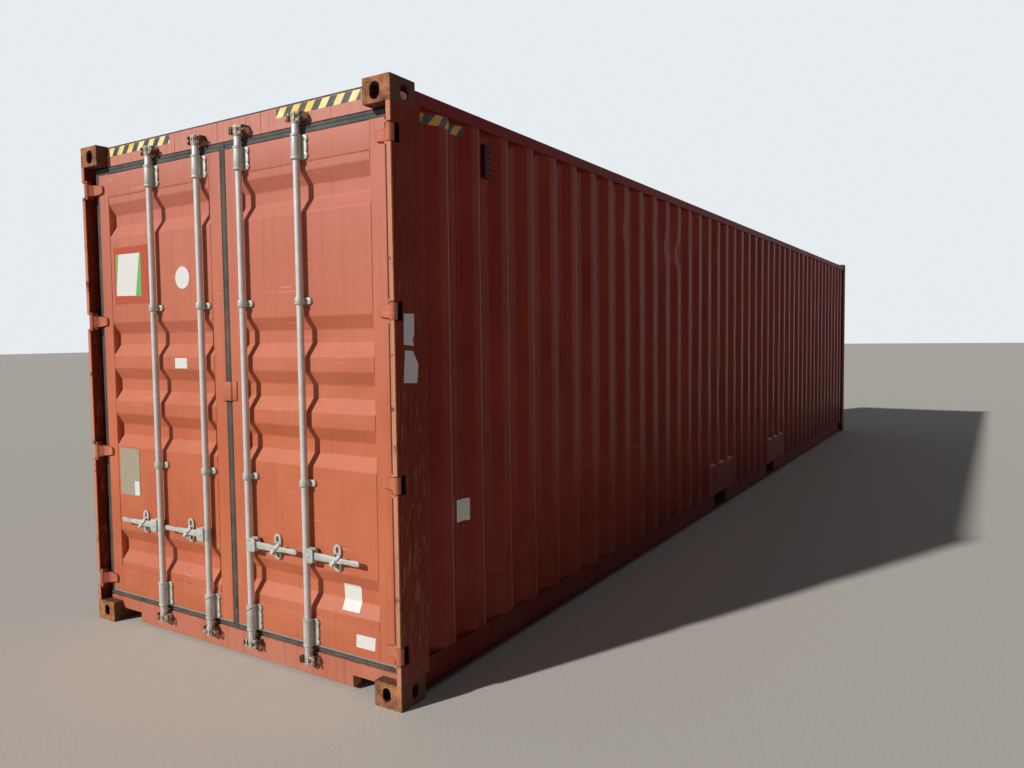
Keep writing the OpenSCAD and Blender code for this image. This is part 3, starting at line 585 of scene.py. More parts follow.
        # Rust blooms from 10 to 80 mm wide
        bloom = add(tree, "ShaderNodeTexNoise", {"Vector": place, "Scale": 9, "Detail": 7, "Roughness": 0.68})
        low = 0.80 - 0.36 * self.rust_share
        more = add(tree, "ShaderNodeMath", {0: strip, 1: 0.34 * self.strip_rust, 2: bloom}, operation="MULTIPLY_ADD")
        bloom_mask = add(tree, "ShaderNodeMapRange", {"Value": more, "From Min": low, "From Max": low + 0.05})
        # Wear shows where the normal of a 5 mm rounding leaves the flat one
        bevel = add(tree, "ShaderNodeBevel", {"Radius": 5 * MM}, samples=4)
        flat = add(tree, "ShaderNodeNewGeometry", out="Normal")
        meet = add(tree, "ShaderNodeVectorMath", {0: bevel, 1: flat}, operation="DOT_PRODUCT")
        edge = add(tree, "ShaderNodeMapRange", {"Value": meet, "From Min": 0.995, "From Max": 0.9})
        chip = add(tree, "ShaderNodeTexNoise", {"Vector": place, "Scale": 22, "Detail": 4})
        chip_low = 0.66 - 0.3 * self.edge_wear
        chip_mask = add(tree, "ShaderNodeMapRange", {"Value": chip, "From Min": chip_low, "From Max": chip_low + 0.06})
        worn = add(tree, "ShaderNodeMath", {0: edge, 1: chip_mask}, operation="MULTIPLY")
        bare = add(tree, "ShaderNodeMath", {0: bloom_mask, 1: worn}, operation="MAXIMUM", use_clamp=True)
        grit = add(tree, "ShaderNodeTexNoise", {"Vector": place, "Scale": 70, "Detail": 3})
        rust_tone = add(tree, "ShaderNodeMix", {0: grit, 6: self.rust, 7: self.rust_light}, data_type="RGBA")
        coat = add(tree, "ShaderNodeMix", {0: bare, 6: coat, 7: rust_tone}, data_type="RGBA")
        dust = add(tree, "ShaderNodeMapRange", {"Value": up, "From Min": 0.7, "From Max": 0.0,
                                                "To Max": 1.6 * self.grime})
        dust_cloud = add(tree, "ShaderNodeMath", {0: dust, 1: cloud}, operation="MULTIPLY")
        coat = add(tree, "ShaderNodeMix", {0: dust_cloud, 6: coat, 7: "#84705F"}, data_type="RGBA")
        film = add(tree, "ShaderNodeMapRange", {"Value": cloud, "From Min": 0.3, "From Max": 0.7,
                                                "To Min": self.roughness - 0.06, "To Max": self.roughness + 0.1})
        rough = add(tree, "ShaderNodeMix", {0: bare, 2: film, 3: 0.85})
        pits = add(tree, "ShaderNodeMix", {0: 0.5, 2: chip, 3: bare})
        bump = add(tree, "ShaderNodeBump", {"Height": pits, "Strength": 0.14, "Distance": 1.5 * MM, "Normal": bevel})
        # Alkyd paint: IOR 1.5, no metal
        return {"Base Color": coat, "Roughness": rough, "IOR": 1.5, "Specular IOR Level": self.specular,
                "Normal": bump}


@dataclass(frozen=True)
class RustedCasting(Finish):
    """Cast steel corner fitting whose paint has gone.

    It gives a rough, pitted skin of brown and ochre rust with a few remains of red paint, and
    painted shade that darkens the faces away from the door end.

    Attributes:
        title: Name of the material.
        dark: Colour in the pits.
        light: Colour of the dry rust.
        paint: Colour of the remains of paint.
        paint_share: How much paint is left, from 0 to 1.
        painted_side_shade: Colour of the painted shade on the faces away from the door end face, or nothing.
    """

    title: str = "rusted_cast_steel"
    dark: str = "#4A2617"
    light: str = "#B4784A"
    paint: str = "#9A4C2E"
    paint_share: float = 0.5
    painted_side_shade: str = ""

    def shade(self, tree: bpy.types.NodeTree, place: bpy.types.NodeSocket) -> dict:
        """Lays paint remains over rust, and returns the shader's values."""
        # Patches some 60 mm wide and sand grain of about 4 mm, coarser than real so that it shows
        cloud = add(tree, "ShaderNodeTexNoise", {"Vector": place, "Scale": 14, "Detail": 6, "Roughness": 0.7})
        grain = add(tree, "ShaderNodeTexNoise", {"Vector": place, "Scale": 190, "Detail": 3})
        blend = add(tree, "ShaderNodeMix", {0: 0.35, 2: cloud, 3: grain})
        tone = add(tree, "ShaderNodeMapRange", {"Value": blend, "From Min": 0.38, "From Max": 0.6})
        rust = add(tree, "ShaderNodeMix", {0: tone, 6: self.dark, 7: self.light}, data_type="RGBA")
        low = 0.72 - 0.3 * self.paint_share
        colour, _ = stain(tree, rust, self.paint, place, 24, 5, low, low + 0.04, roughness=0.6)
        # Painted shade: faces away from the door end face are darkened towards this colour
        if self.painted_side_shade:
            along = add(tree, "ShaderNodeSeparateXYZ", {0: place})
            inner = add(tree, "ShaderNodeMapRange", {"Value": along, "From Min": door_x(2 * MM),
                                                     "From Max": door_x(10 * MM), "To Max": 0.8})
            colour = add(tree, "ShaderNodeMix", {0: inner, 6: colour, 7: self.painted_side_shade}, data_type="RGBA")
        # Rust is not a metal: IOR 1.5 and very rough
        return {"Base Color": colour, "Roughness": 0.86, "IOR": 1.5,
                "Normal": relief(tree, blend, 0.5, 3 * MM, 6 * MM)}


@dataclass(frozen=True)
class DippedZinc(Finish):
    """Hot dip galvanised steel, weathered.

    It gives a dull grey-white skin with faint crystals, white bloom, and brown stain where the
    zinc has worn through.

    Attributes:
        title: Name of the material.
        pale: Colour of the white bloom.
        grey: Colour of the bare zinc.
        rust_share: How much of the surface has worn through, from 0 to 1.
        metallic: Metal share of the skin, low where it has gone chalky.
    """

    title: str
    pale: str
    grey: str
    rust_share: float = 0.15
    metallic: float = 0.2

    def shade(self, tree: bpy.types.NodeTree, place: bpy.types.NodeSocket) -> dict:
        """Lays rust over zinc, and returns the shader's values."""
        # Zinc crystals some 12 mm wide
        cells = add(tree, "ShaderNodeTexVoronoi", {"Vector": place, "Scale": 85}, out="Color")
        cloud = add(tree, "ShaderNodeTexNoise", {"Vector": place, "Scale": 11, "Detail": 5, "Roughness": 0.65})
        crystal = add(tree, "ShaderNodeSeparateColor", {0: cells})
        blend = add(tree, "ShaderNodeMix", {0: 0.12, 2: cloud, 3: crystal})
        tone = add(tree, "ShaderNodeMapRange", {"Value": blend, "From Min": 0.28, "From Max": 0.72})
        zinc = add(tree, "ShaderNodeMix", {0: tone, 6: self.grey, 7: self.pale}, data_type="RGBA")
        # Brown stains run down from the worn places
        tall = add(tree, "ShaderNodeMapping", {"Vector": place, "Scale": (30, 30, 7)})
        runs = add(tree, "ShaderNodeTexNoise", {"Vector": tall, "Scale": 1, "Detail": 6, "Roughness": 0.7})
        low = 0.76 - 0.36 * self.rust_share
        worn = add(tree, "ShaderNodeMapRange", {"Value": runs, "From Min": low, "From Max": low + 0.1,
                                                "To Max": 0.85})
        grit = add(tree, "ShaderNodeTexNoise", {"Vector": place, "Scale": 120, "Detail": 3})
        rust = add(tree, "ShaderNodeMix", {0: grit, 6: "#43251A", 7: "#84553A"}, data_type="RGBA")
        colour = add(tree, "ShaderNodeMix", {0: worn, 6: zinc, 7: rust}, data_type="RGBA")
        metal = add(tree, "ShaderNodeMapRange", {"Value": worn, "To Min": self.metallic, "To Max": 0.0})
        rough = add(tree, "ShaderNodeMapRange", {"Value": worn, "To Min": 0.5, "To Max": 0.85})
        return {"Base Color": colour, "Metallic": metal, "Roughness": rough,
                "Normal": relief(tree, grit, 0.25, 1 * MM, 2 * MM)}


@dataclass(frozen=True)
class DoorRubber(Finish):
    """Extruded EPDM rubber of the door seals.

    It gives a matte grey skin, dusty from the road, with a little red paint dust along it.

    Attributes:
        title: Name of the material.
        dark: Colour of clean rubber.
        dusty: Colour of dusty rubber.
        stained: Colour of the paint dust.
    """

    title: str = "extruded_epdm_rubber"
    dark: str = "#363734"
    dusty: str = "#54534D"
    stained: str = "#7E5747"

    def shade(self, tree: bpy.types.NodeTree, place: bpy.types.NodeSocket) -> dict:
        """Lays dust and paint dust over rubber, and returns the shader's values."""
        skin, cloud = stain(tree, self.dark, self.dusty, place, 9, 5, 0.35, 0.65, roughness=0.7)
        colour, _ = stain(tree, skin, self.stained, place, 3.5, 4, 0.56, 0.7, 0.45)
        # EPDM: IOR 1.5, matte
        return {"Base Color": colour, "Roughness": 0.78, "IOR": 1.5, "Normal": relief(tree, cloud, 0.2, 1 * MM)}


@dataclass(frozen=True)
class FloorPly(Finish):
    """Sheets of tropical hardwood plywood under a worn resin seal.

    It gives a brown floor with long grain, tyre marks and scuffs.

    Attributes:
        title: Name of the material.
        light: Colour of the early wood.
        dark: Colour of the late wood.
        marked: Colour of the tyre marks.
    """

    title: str = "sealed_hardwood_plywood"
    light: str = "#8A6242"
    dark: str = "#5C3D27"
    marked: str = "#3B2C22"

    def shade(self, tree: bpy.types.NodeTree, place: bpy.types.NodeSocket) -> dict:
        """Lays marks over grain, and returns the shader's values."""
        # Grain lines about 5 mm apart, coarser than real so that they show
        long = add(tree, "ShaderNodeMapping", {"Vector": place, "Scale": (2.2, 90, 90)})
        wood, grain = stain(tree, self.dark, self.light, long, 1, 5, 0.32, 0.68, 1.0, 0.65, 0.4)
        colour, _ = stain(tree, wood, self.marked, place, 2.4, 6, 0.5, 0.7, 0.6, 0.6)
        # Resin sealed wood: IOR 1.5
        return {"Base Color": colour, "Roughness": 0.6, "IOR": 1.5, "Normal": relief(tree, grain, 0.25, 1 * MM)}


@dataclass(frozen=True)
class Underseal(Finish):
    """Bitumen wax sprayed on the steel under the floor.

    It gives a black-brown, lumpy and slightly greasy skin with road dust.

    Attributes:
        title: Name of the material.
        dark: Colour of the wax.
        dusty: Colour of the dust on it.
    """

    title: str = "bitumen_underseal"
    dark: str = "#1E1917"
    dusty: str = "#4A3B30"

    def shade(self, tree: bpy.types.NodeTree, place: bpy.types.NodeSocket) -> dict:
        """Lays dust over lumpy wax, and returns the shader's values."""
        # Spray lumps some 15 mm wide
        lump = add(tree, "ShaderNodeTexNoise", {"Vector": place, "Scale": 60, "Detail": 4})
        colour, _ = stain(tree, self.dark, self.dusty, place, 5, 6, 0.42, 0.68, roughness=0.7)
        return {"Base Color": colour, "Roughness": 0.55, "IOR": 1.5, "Normal": relief(tree, lump, 0.5, 2 * MM)}


@dataclass(frozen=True)
class StripedFilm(Finish):
    """Self-adhesive vinyl film printed with slanting warning stripes.

    It gives flat yellow and black bands with chalked, slightly ragged edges.

    Attributes:
        title: Name of the material.
        along: Direction of the strip as X, Y weights of the place.
        share: Share of the pitch that is yellow.
        pitch: Distance from one yellow band to the next.
        lean: Run of a band along the strip for each metre up.
        yellow: Colour of the light bands.
        bleached: Colour of light bands that the sun has bleached.
        black: Colour of the dark bands.
        chalk: Colour of the chalked film.
    """

    title: str
    along: Point
    lean: float
    pitch: float = 0.098
    share: float = 0.5
    yellow: str = "#EBCB4E"
    bleached: str = "#EFE6A8"
    black: str = "#3A3836"
    chalk: str = "#A08A6A"

    def shade(self, tree: bpy.types.NodeTree, place: bpy.types.NodeSocket) -> dict:
        """Prints the bands and wears them, and returns the shader's values."""
        run = add(tree, "ShaderNodeVectorMath", {0: place, 1: (*self.along, -self.lean)}, operation="DOT_PRODUCT")
        turns = add(tree, "ShaderNodeMath", {0: run, 1: 1 / self.pitch}, operation="MULTIPLY")
        part = add(tree, "ShaderNodeMath", {0: turns}, operation="FRACT")
        band = add(tree, "ShaderNodeMapRange", {"Value": part, "From Min": self.share - 0.02,
                                                "From Max": self.share + 0.02})
        light, _ = stain(tree, self.yellow, self.bleached, place, 9, 2, 0.42, 0.58)
        bands = add(tree, "ShaderNodeMix", {0: band, 6: light, 7: self.black}, data_type="RGBA")
        colour, _ = stain(tree, bands, self.chalk, place, 30, 5, 0.5, 0.75, 0.4, 0.7)
        # PVC film: IOR 1.53
        return {"Base Color": colour, "Roughness": 0.45, "IOR": 1.53}


@dataclass(frozen=True)
class PlainFilm(Finish):
    """Blank vinyl label or bare metal plate, stained by rain.

    It gives one dull tone with a soft darker rim of dirt in its grain.

    Attributes:
        title: Name of the material.
        tone: Colour of the face.
        dirt: Colour of the stains.
        dirt_share: How much of it is stained, from 0 to 1.
        metallic: 1 for a bare metal plate, 0 for film and paper.
        roughness: Roughness of the face.
    """

    title: str
    tone: str
    dirt: str = "#6B5A4C"
    dirt_share: float = 0.4
    metallic: float = 0.0
    roughness: float = 0.5

    def shade(self, tree: bpy.types.NodeTree, place: bpy.types.NodeSocket) -> dict:
        """Lays stains some 20 mm wide over the face, and returns the shader's values."""
        low = 0.66 - 0.26 * self.dirt_share
        colour, _ = stain(tree, self.tone, self.dirt, place, 42, 6, low, low + 0.2, 0.8, 0.7)
        return {"Base Color": colour, "Roughness": self.roughness, "Metallic": self.metallic}


@dataclass(frozen=True)
class Screed(Finish):
    """Pale cement floor of the studio.

    It gives a matte ground with fine grit.

    Attributes:
        title: Name of the material.
        dark: Colour between the grains.
        light: Colour of the grains.
    """

    title: str = "pale_screed"
    dark: str = "#BDB7AC"
    light: str = "#CEC8BD"

    def shade(self, tree: bpy.types.NodeTree, place: bpy.types.NodeSocket) -> dict:
        """Blends the grit, and returns the shader's values."""
        grit = add(tree, "ShaderNodeTexNoise", {"Vector": place, "Scale": 60, "Detail": 4})
        tone = add(tree, "ShaderNodeMix", {0: grit, 6: self.dark, 7: self.light}, data_type="RGBA")
        return {"Base Color": tone, "Roughness": 0.85}


class Finishes:
    """Builds each material once and hands it out by name."""

    def __init__(self) -> None:
        """Makes every finish of the container."""
        self.door = ContainerPaint("faded_alkyd_paint_doors", "#B9603D", "#C46B47", rust_share=0.06, scuff=0.3,
                                   scuff_tone="#DDB09A", roughness=0.52, specular=0.4, edge_wear=0.3,
                                   grime=0.15, top="#BC7160").build()
        self.end = ContainerPaint("faded_alkyd_paint_end_frame", "#BC664A", "#C87459", rust_share=0.3, scuff=0.4,
                                  scuff_tone="#D8AC98", roughness=0.55, specular=0.4, edge_wear=0.7,
                                  grime=0.3, top="#C68273").build()
        # Partly painted shade, partly a deeper paint: the walls are kept darker and redder than the doors so that they
        # look as deep as the shaded side
        self.wall = ContainerPaint("glossy_alkyd_paint_walls", "#8A2A1F", "#96382B", rust_share=0.08, scuff=0.25,
                                   scuff_tone="#B58A7E", roughness=0.28, specular=0.08, edge_wear=0.2,
                                   grime=0.15, ridge=0.6).build()
        # Partly painted shade: the rails are darkened in the same way as the walls
        self.rail = ContainerPaint("scuffed_alkyd_paint_rails", "#7A2420", "#86302B", rust_share=0.3, scuff=0.5,
                                   scuff_tone="#B09488", roughness=0.4, specular=0.06, edge_wear=0.7,
                                   grime=0.15).build()
        self.vent = ContainerPaint("shaded_alkyd_paint_vents", "#4A1F20", "#552829", rust_share=0.3, scuff=0.2,
                                   specular=0.1, grime=0.0).build()
        # Painted light and shade: a dark maroon base for the posts' shaded sides and a pale tan front for their lit
        # door end face; the rust, scuffs and scratches are wear
        self.post = ContainerPaint("battered_alkyd_paint_posts", "#7C2A1C", "#86352A", rust_share=0.42, scuff=0.6,
                                   scuff_tone="#B47A5C", rust="#2A120A", rust_light="#9A6440", roughness=0.55,
                                   specular=0.06, edge_wear=0.9, grime=0.2, strip_rust=0.2, front="#C88468",
                                   scratch=0.7).build()
        self.hinge = ContainerPaint("painted_forged_hinges", "#B66040", "#C26E4E", rust_share=0.3, scuff=0.4,
                                    scuff_tone="#D9A088", roughness=0.55, specular=0.4, edge_wear=0.9,
                                    grime=0.2).build()
        # Painted shade darkens the castings' faces away from the door end
        self.casting = RustedCasting(painted_side_shade="#4C2620").build()
        self.keeper = RustedCasting("rusted_forged_steel", "#3A1F18", "#7A5340", "#C9BCA8", 0.62).build()
        self.bar = DippedZinc("galvanised_lock_bars", "#D8D6D1", "#BFBDB8", rust_share=0.1).build()
        self.fitting = DippedZinc("galvanised_forgings", "#CFD0C6", "#A4A79E", rust_share=0.2).build()
        self.cam = DippedZinc("worn_galvanised_cams", "#CFC6B4", "#8C7C6C", rust_share=0.55, metallic=0.1).build()
        self.rubber = DoorRubber().build()
        self.floor = FloorPly().build()
        self.under = Underseal().build()
        self.stripes = StripedFilm("striped_film_header", (0.0, -1.0), 0.7).build()
        # Painted shade: the side copy of the stripes has darker, more orange yellows and a deeper black than the
        # header's
        self.side_stripes = StripedFilm("striped_film_side_painted_shade", (1.0, 0.0), 0.75, yellow="#DB9C40",
                                        bleached="#D08C3C", black="#1E1A1A").build()
        self.white_film = PlainFilm("blank_white_film", "#DAD8D0", dirt_share=0.2).build()
        self.green_film = PlainFilm("blank_green_film", "#5FAE55", "#9BBE86", 0.3).build()
        self.patch = PlainFilm("fresher_paint_patch", "#B4482E", "#BC5438", 0.5, roughness=0.42).build()
        self.plate = PlainFilm("weathered_steel_plate", "#A89D86", "#8C7E66", 0.5, metallic=0.15,
                               roughness=0.45).build()
        self.clamp = PlainFilm("dusty_clamp_strip", "#8C887C", "#75705F", 0.5, roughness=0.7).build()
        self.paper = PlainFilm("torn_paper_remains", "#DCD2DA", "#A08E92", 0.3, roughness=0.9).build()
        # Black, used for the seal scar and for the painted shade along the roof's edge
        self.sealant_and_shade = PlainFilm("black_sealant_and_painted_shade", "#221A1A", "#4A3A34", 0.3, roughness=0.6).build()


def smear(rng: random.Random, count: int, spans: Sequence[tuple[float, float]], depth: float
          ) -> list[tuple[float, float, float, float, float]]:
    """Scatters dents.

    Args:
        rng: Seeded source of numbers.
        count: How many dents.
        spans: Lowest and highest place along and up.
        depth: Deepest dent.

    Returns:
        Place along, place up, half width, half height and depth of each dent.
    """
    (u0, u1), (v0, v1) = spans
    return [(rng.uniform(u0, u1), rng.uniform(v0, v1), rng.uniform(0.07, 0.2), rng.uniform(0.12, 0.4),
             rng.uniform(0.3, 1.0) * depth) for _ in range(count)]


@dataclass
class SideWall:
    """Corrugated wall of 2 mm sheet, welded between the side rails.

    Attributes:
        side: Side of the box.
        start: Where the sheet starts at the door post.
        end: Where it ends at the front post.
        low: Top of the bottom side rail.
        high: Underside of the top side rail.
        pitch: Distance between ridges.
        crest: Flat of a ridge.
        slope: Run of a ridge's flank.
        rise: Height of a ridge.
        thick: Thickness of the sheet.
        ridges: Number of ridges.
        bend_radius: Radius of the folds.
        calm_low: Height below which the sheet is straight, as at the rail.
        calm_high: Height above which it is straight.
        dents: Dents in the sheet.
    """

    side: Side
    start: float = -5.884
    end: float = 5.918
    low: float = 0.181
    high: float = 2.800
    pitch: float = SIDE_PITCH
    crest: float = 0.072
    slope: float = 0.068
    rise: float = 0.036
    thick: float = 0.002
    ridges: int = 42
    bend_radius: float = 0.016
    calm_low: float = 0.49
    calm_high: float = 2.72
    dents: list = field(default_factory=list)

    def __post_init__(self) -> None:
        """Scatters the dents that the wall has met."""
        rng = random.Random(11 + self.side.value)
        self.dents = smear(rng, 40, ((self.start, self.end), (0.75, 2.6)), 0.006)
        self.dents += smear(rng, 12, ((-2.1, -1.0), (0.6, 1.5)), 0.014)
        self.dents += smear(rng, 12, ((0.2, 1.7), (0.6, 1.2)), 0.012)
        self.dents += [(-2.363, 2.400, 0.10, 0.15, 0.030), (-2.641, 2.430, 0.09, 0.13, 0.018),
                       (-3.475, 2.480, 0.09, 0.12, 0.014)]

    def profile(self) -> list[Point]:
        """Returns the folded line of the outer face, as place along and distance out."""
        points = [(self.start, WALL_BASE)]
        for i in range(self.ridges):
            middle = (i + 0.5 - self.ridges / 2) * self.pitch
            points += fold(middle, self.crest, self.slope, WALL_BASE, self.rise)
        points.append((self.end, WALL_BASE))
        return bend(points, self.bend_radius, 3)

    def shift(self, x: float, z: float) -> float:
        """Returns how far the sheet is pushed in at a place along and up."""
        if not self.calm_low <= z <= self.calm_high:
            return 0.0
        fade = min(1.0, (z - self.calm_low) / 0.2, (self.calm_high - z) / 0.1)
        push = 0.0
        for u, v, wide, tall, depth in self.dents:
            far = ((x - u) / wide) ** 2 + ((z - v) / tall) ** 2
            if far < 1:
                push = max(push, depth * (1 - far) ** 2)
        return -fade * (push + 0.0012 * (1 + noise.noise(Vector((x * 3.1, self.side.value, z * 2.3)))))

    def build(self, finishes: Finishes) -> None:
        """Builds the sheet, its panel joints and its welds.

        Args:
            finishes: The materials.
        """
        name = self.side.name.lower()
        line = self.profile()
        rows = [self.low, self.low + 0.3, *(0.52 + i * (2.74 - 0.52) / 40 for i in range(41)), self.high]
        mould = Mould(self.side)
        mould.sheet(line, rows, -self.thick, lambda u, w, v: (u, w, v), self.shift)
        mould.done(f"side_sheet_{name}", "container", Slot.WALL, finishes.wall, [f"side_wall_{name}"], angle=50)
        welds = Mould(self.side)
        for z in (self.low + 1.5 * MM, self.high - 1.5 * MM):
            welds.tube([(u, w + 0.5 * MM, z) for u, w in line], 3 * MM, 5)
        for k in range(-5, 6):
            x = k * 4 * self.pitch + 0.012
            welds.tube([(x, WALL_BASE - 0.6 * MM, self.low + t * 0.131) for t in range(21)], 1.6 * MM, 6)
        welds.done(f"side_welds_{name}", "container", Slot.WALL, finishes.wall)


@dataclass
class DoorLeaf:
    """Door leaf: a frame of square tube with a pressed sheet welded into it.

    Attributes:
        side: Side of the box.
        inner: Edge at the middle.
        outer: Edge at the hinges.
        low: Lower edge.
        high: Upper edge.
        stile: Width of the upright tubes.
        top_h: Height of the upper tube.
        low_h: Height of the lower tube.
        thick: Depth of the tubes.
        grooves: Heights of the pressed grooves.
        flat: Flat of a groove.
        slope: Run of a groove's flank.
        fall: Depth of a groove.
    """

    side: Side
    inner: float
    outer: float = LEAF_OUTER
    low: float = LEAF_LOW
    high: float = LEAF_HIGH
    stile: float = 0.095
    top_h: float = 0.136
    low_h: float = 0.157
    thick: float = 0.050
    grooves: tuple[float, ...] = (0.472, 1.188, 1.463, 1.738, 2.450)
    flat: float = 0.068
    slope: float = 0.066
    fall: float = 0.036

    def profile(self) -> list[Point]:
        """Returns the sheet's folded line, as height and depth."""
        back = 1.5 * MM
        points = [(self.low + self.low_h - 1 * MM, LEAF_D + back)]
        for z in self.grooves:
            points += fold(z, self.flat, self.slope, LEAF_D + back, self.fall)
        points.append((self.high - self.top_h + 1 * MM, LEAF_D + back))
        return bend(points, 0.02, 4)

    def build(self, finishes: Finishes) -> None:
        """Builds the frame, the sheet and the weld round the sheet.

        Args:
            finishes: The materials.
        """
        name = self.side.name.lower()
        left, right = self.inner + self.stile, self.outer - self.stile
        line = self.profile()
        mould = Mould(self.side)
        x0, x1 = door_x(LEAF_D), door_x(LEAF_D + self.thick)
        for y0, y1 in ((self.inner, left), (right, self.outer)):
            mould.prism(box_outline((x0, y0), (x1, y1), 6 * MM), Axis.Z, self.low, self.high)
        for z0, z1 in ((self.low, self.low + self.low_h), (self.high - self.top_h, self.high)):
            mould.prism(box_outline((x0, z0), (x1, z1), 6 * MM), Axis.Y, left - 2 * MM, right + 2 * MM)
        columns = [left - 1 * MM + i * (right - left + 2 * MM) / 24 for i in range(25)]
        ripple = self.side.value * 3.7

        def warp(z: float, y: float) -> float:
            """Returns the slight wave that welding leaves in the sheet."""
            return 1.1 * MM * noise.noise(Vector((y * 4.2, z * 3.0, ripple)))

        mould.sheet(line, columns, 2 * MM, lambda u, w, v: (door_x(w), v, u), warp)
        mould.done(f"{name}_leaf_pressing", f"{name}_door", Slot.WALL, finishes.door, [f"{name}_door_leaf"], angle=40)
        welds = Mould(self.side)
        for y in (left + 0.5 * MM, right - 0.5 * MM):
            welds.tube([(door_x(w - 0.3 * MM), y, z) for z, w in line], 2.4 * MM, 6)
        for z in (self.low + self.low_h, self.high - self.top_h):
            welds.tube([(door_x(LEAF_D + 1.2 * MM), left + t * (right - left) / 20, z) for t in range(21)], 2.4 * MM, 6)
        welds.done(f"{name}_leaf_welds", f"{name}_door", Slot.WALL, finishes.door)


@dataclass
class DoorSeal:
    """Lipped rubber seal clamped round a door leaf.

    Attributes:
        side: Side of the box.
        inner: Leaf edge at the middle.
        seal_inner: Seal edge at the middle.
        outer: Leaf edge at the hinges.
        seal_outer: Seal edge at the jamb.
        low: Leaf's lower edge.
        high: Leaf's upper edge.
        drop: Height of the seal below the leaf.
        climb: Height of the seal above the leaf.
    """

    side: Side
    inner: float
    seal_inner: float
    outer: float = LEAF_OUTER
    seal_outer: float = 1.172
    low: float = LEAF_LOW
    high: float = LEAF_HIGH
    drop: float = 0.027
    climb: float = 0.041

    def build(self, finishes: Finishes) -> None:
        """Sweeps the seal's section round the leaf.

        Args:
            finishes: The materials.
        """
        name = self.side.name.lower()
        # Share of the seal's width, and depth from the door end in millimetres
        section = [(0.0, 66), (0.03, 62.5), (0.12, 60.8), (0.34, 60.6), (0.42, 63.5), (0.52, 64), (0.6, 61),
                   (0.72, 60.2), (0.9, 60.6), (0.98, 63), (1.0, 68), (0.97, 74), (0.86, 79), (0.95, 86), (0.98, 93),
                   (0.9, 99), (0.5, 100), (0.08, 99.5), (0.0, 97)]
        corners = []
        for share, depth in section:
            y0 = self.inner + (self.seal_inner - self.inner) * share
            y1 = self.outer + (self.seal_outer - self.outer) * share
            z0, z1 = self.low - self.drop * share, self.high + self.climb * share
            corners.append((depth * MM, y0, y1, z0, z1))
        rings = []
        for a, b in (((0, 2), (1, 2)), ((1, 2), (1, 3)), ((1, 3), (0, 3)), ((0, 3), (0, 2))):
            count = 16 if a[1] == b[1] else 40
            for step in range(count):
                t = step / count
                row = []
                for depth, *ends in corners:
                    y = ends[a[0]] * (1 - t) + ends[b[0]] * t
                    z = ends[a[1]] * (1 - t) + ends[b[1]] * t
                    sag = 0.8 * MM * noise.noise(Vector((y * 7, z * 7, self.side.value)))
                    row.append((door_x(depth + (sag if depth < 0.07 else 0.0)), y, z))
                rings.append(row)
        mould = Mould(self.side)
        mould.skin(rings, looped=True)
        if self.side is Side.RIGHT:
            lip = [(60.4, self.inner - 3 * MM), (58.9, self.inner - 4 * MM), (58.6, -0.003), (59.6, -0.0045),
                   (60.2, -0.002)]
            rows = [[(door_x(d * MM), y, z) for d, y in lip] for z in (self.low - self.drop + 2 * MM,
                                                                      self.high + self.climb - 2 * MM)]
            mould.skin(rows)
        mould.done(f"{name}_seal_strip", f"{name}_door", Slot.RUBBER, finishes.rubber, [f"{name}_door_seal"], angle=60)
        clamp = Mould(self.side)
        clamp.prism(box_outline((door_x(0.0568), self.low - 1 * MM), (door_x(0.0584), self.low + 6 * MM), 0.6 * MM),
                    Axis.Y, self.inner + 2 * MM, self.outer - 2 * MM)
        clamp.done(f"{name}_seal_clamp", f"{name}_door", Slot.RUBBER, finishes.clamp)


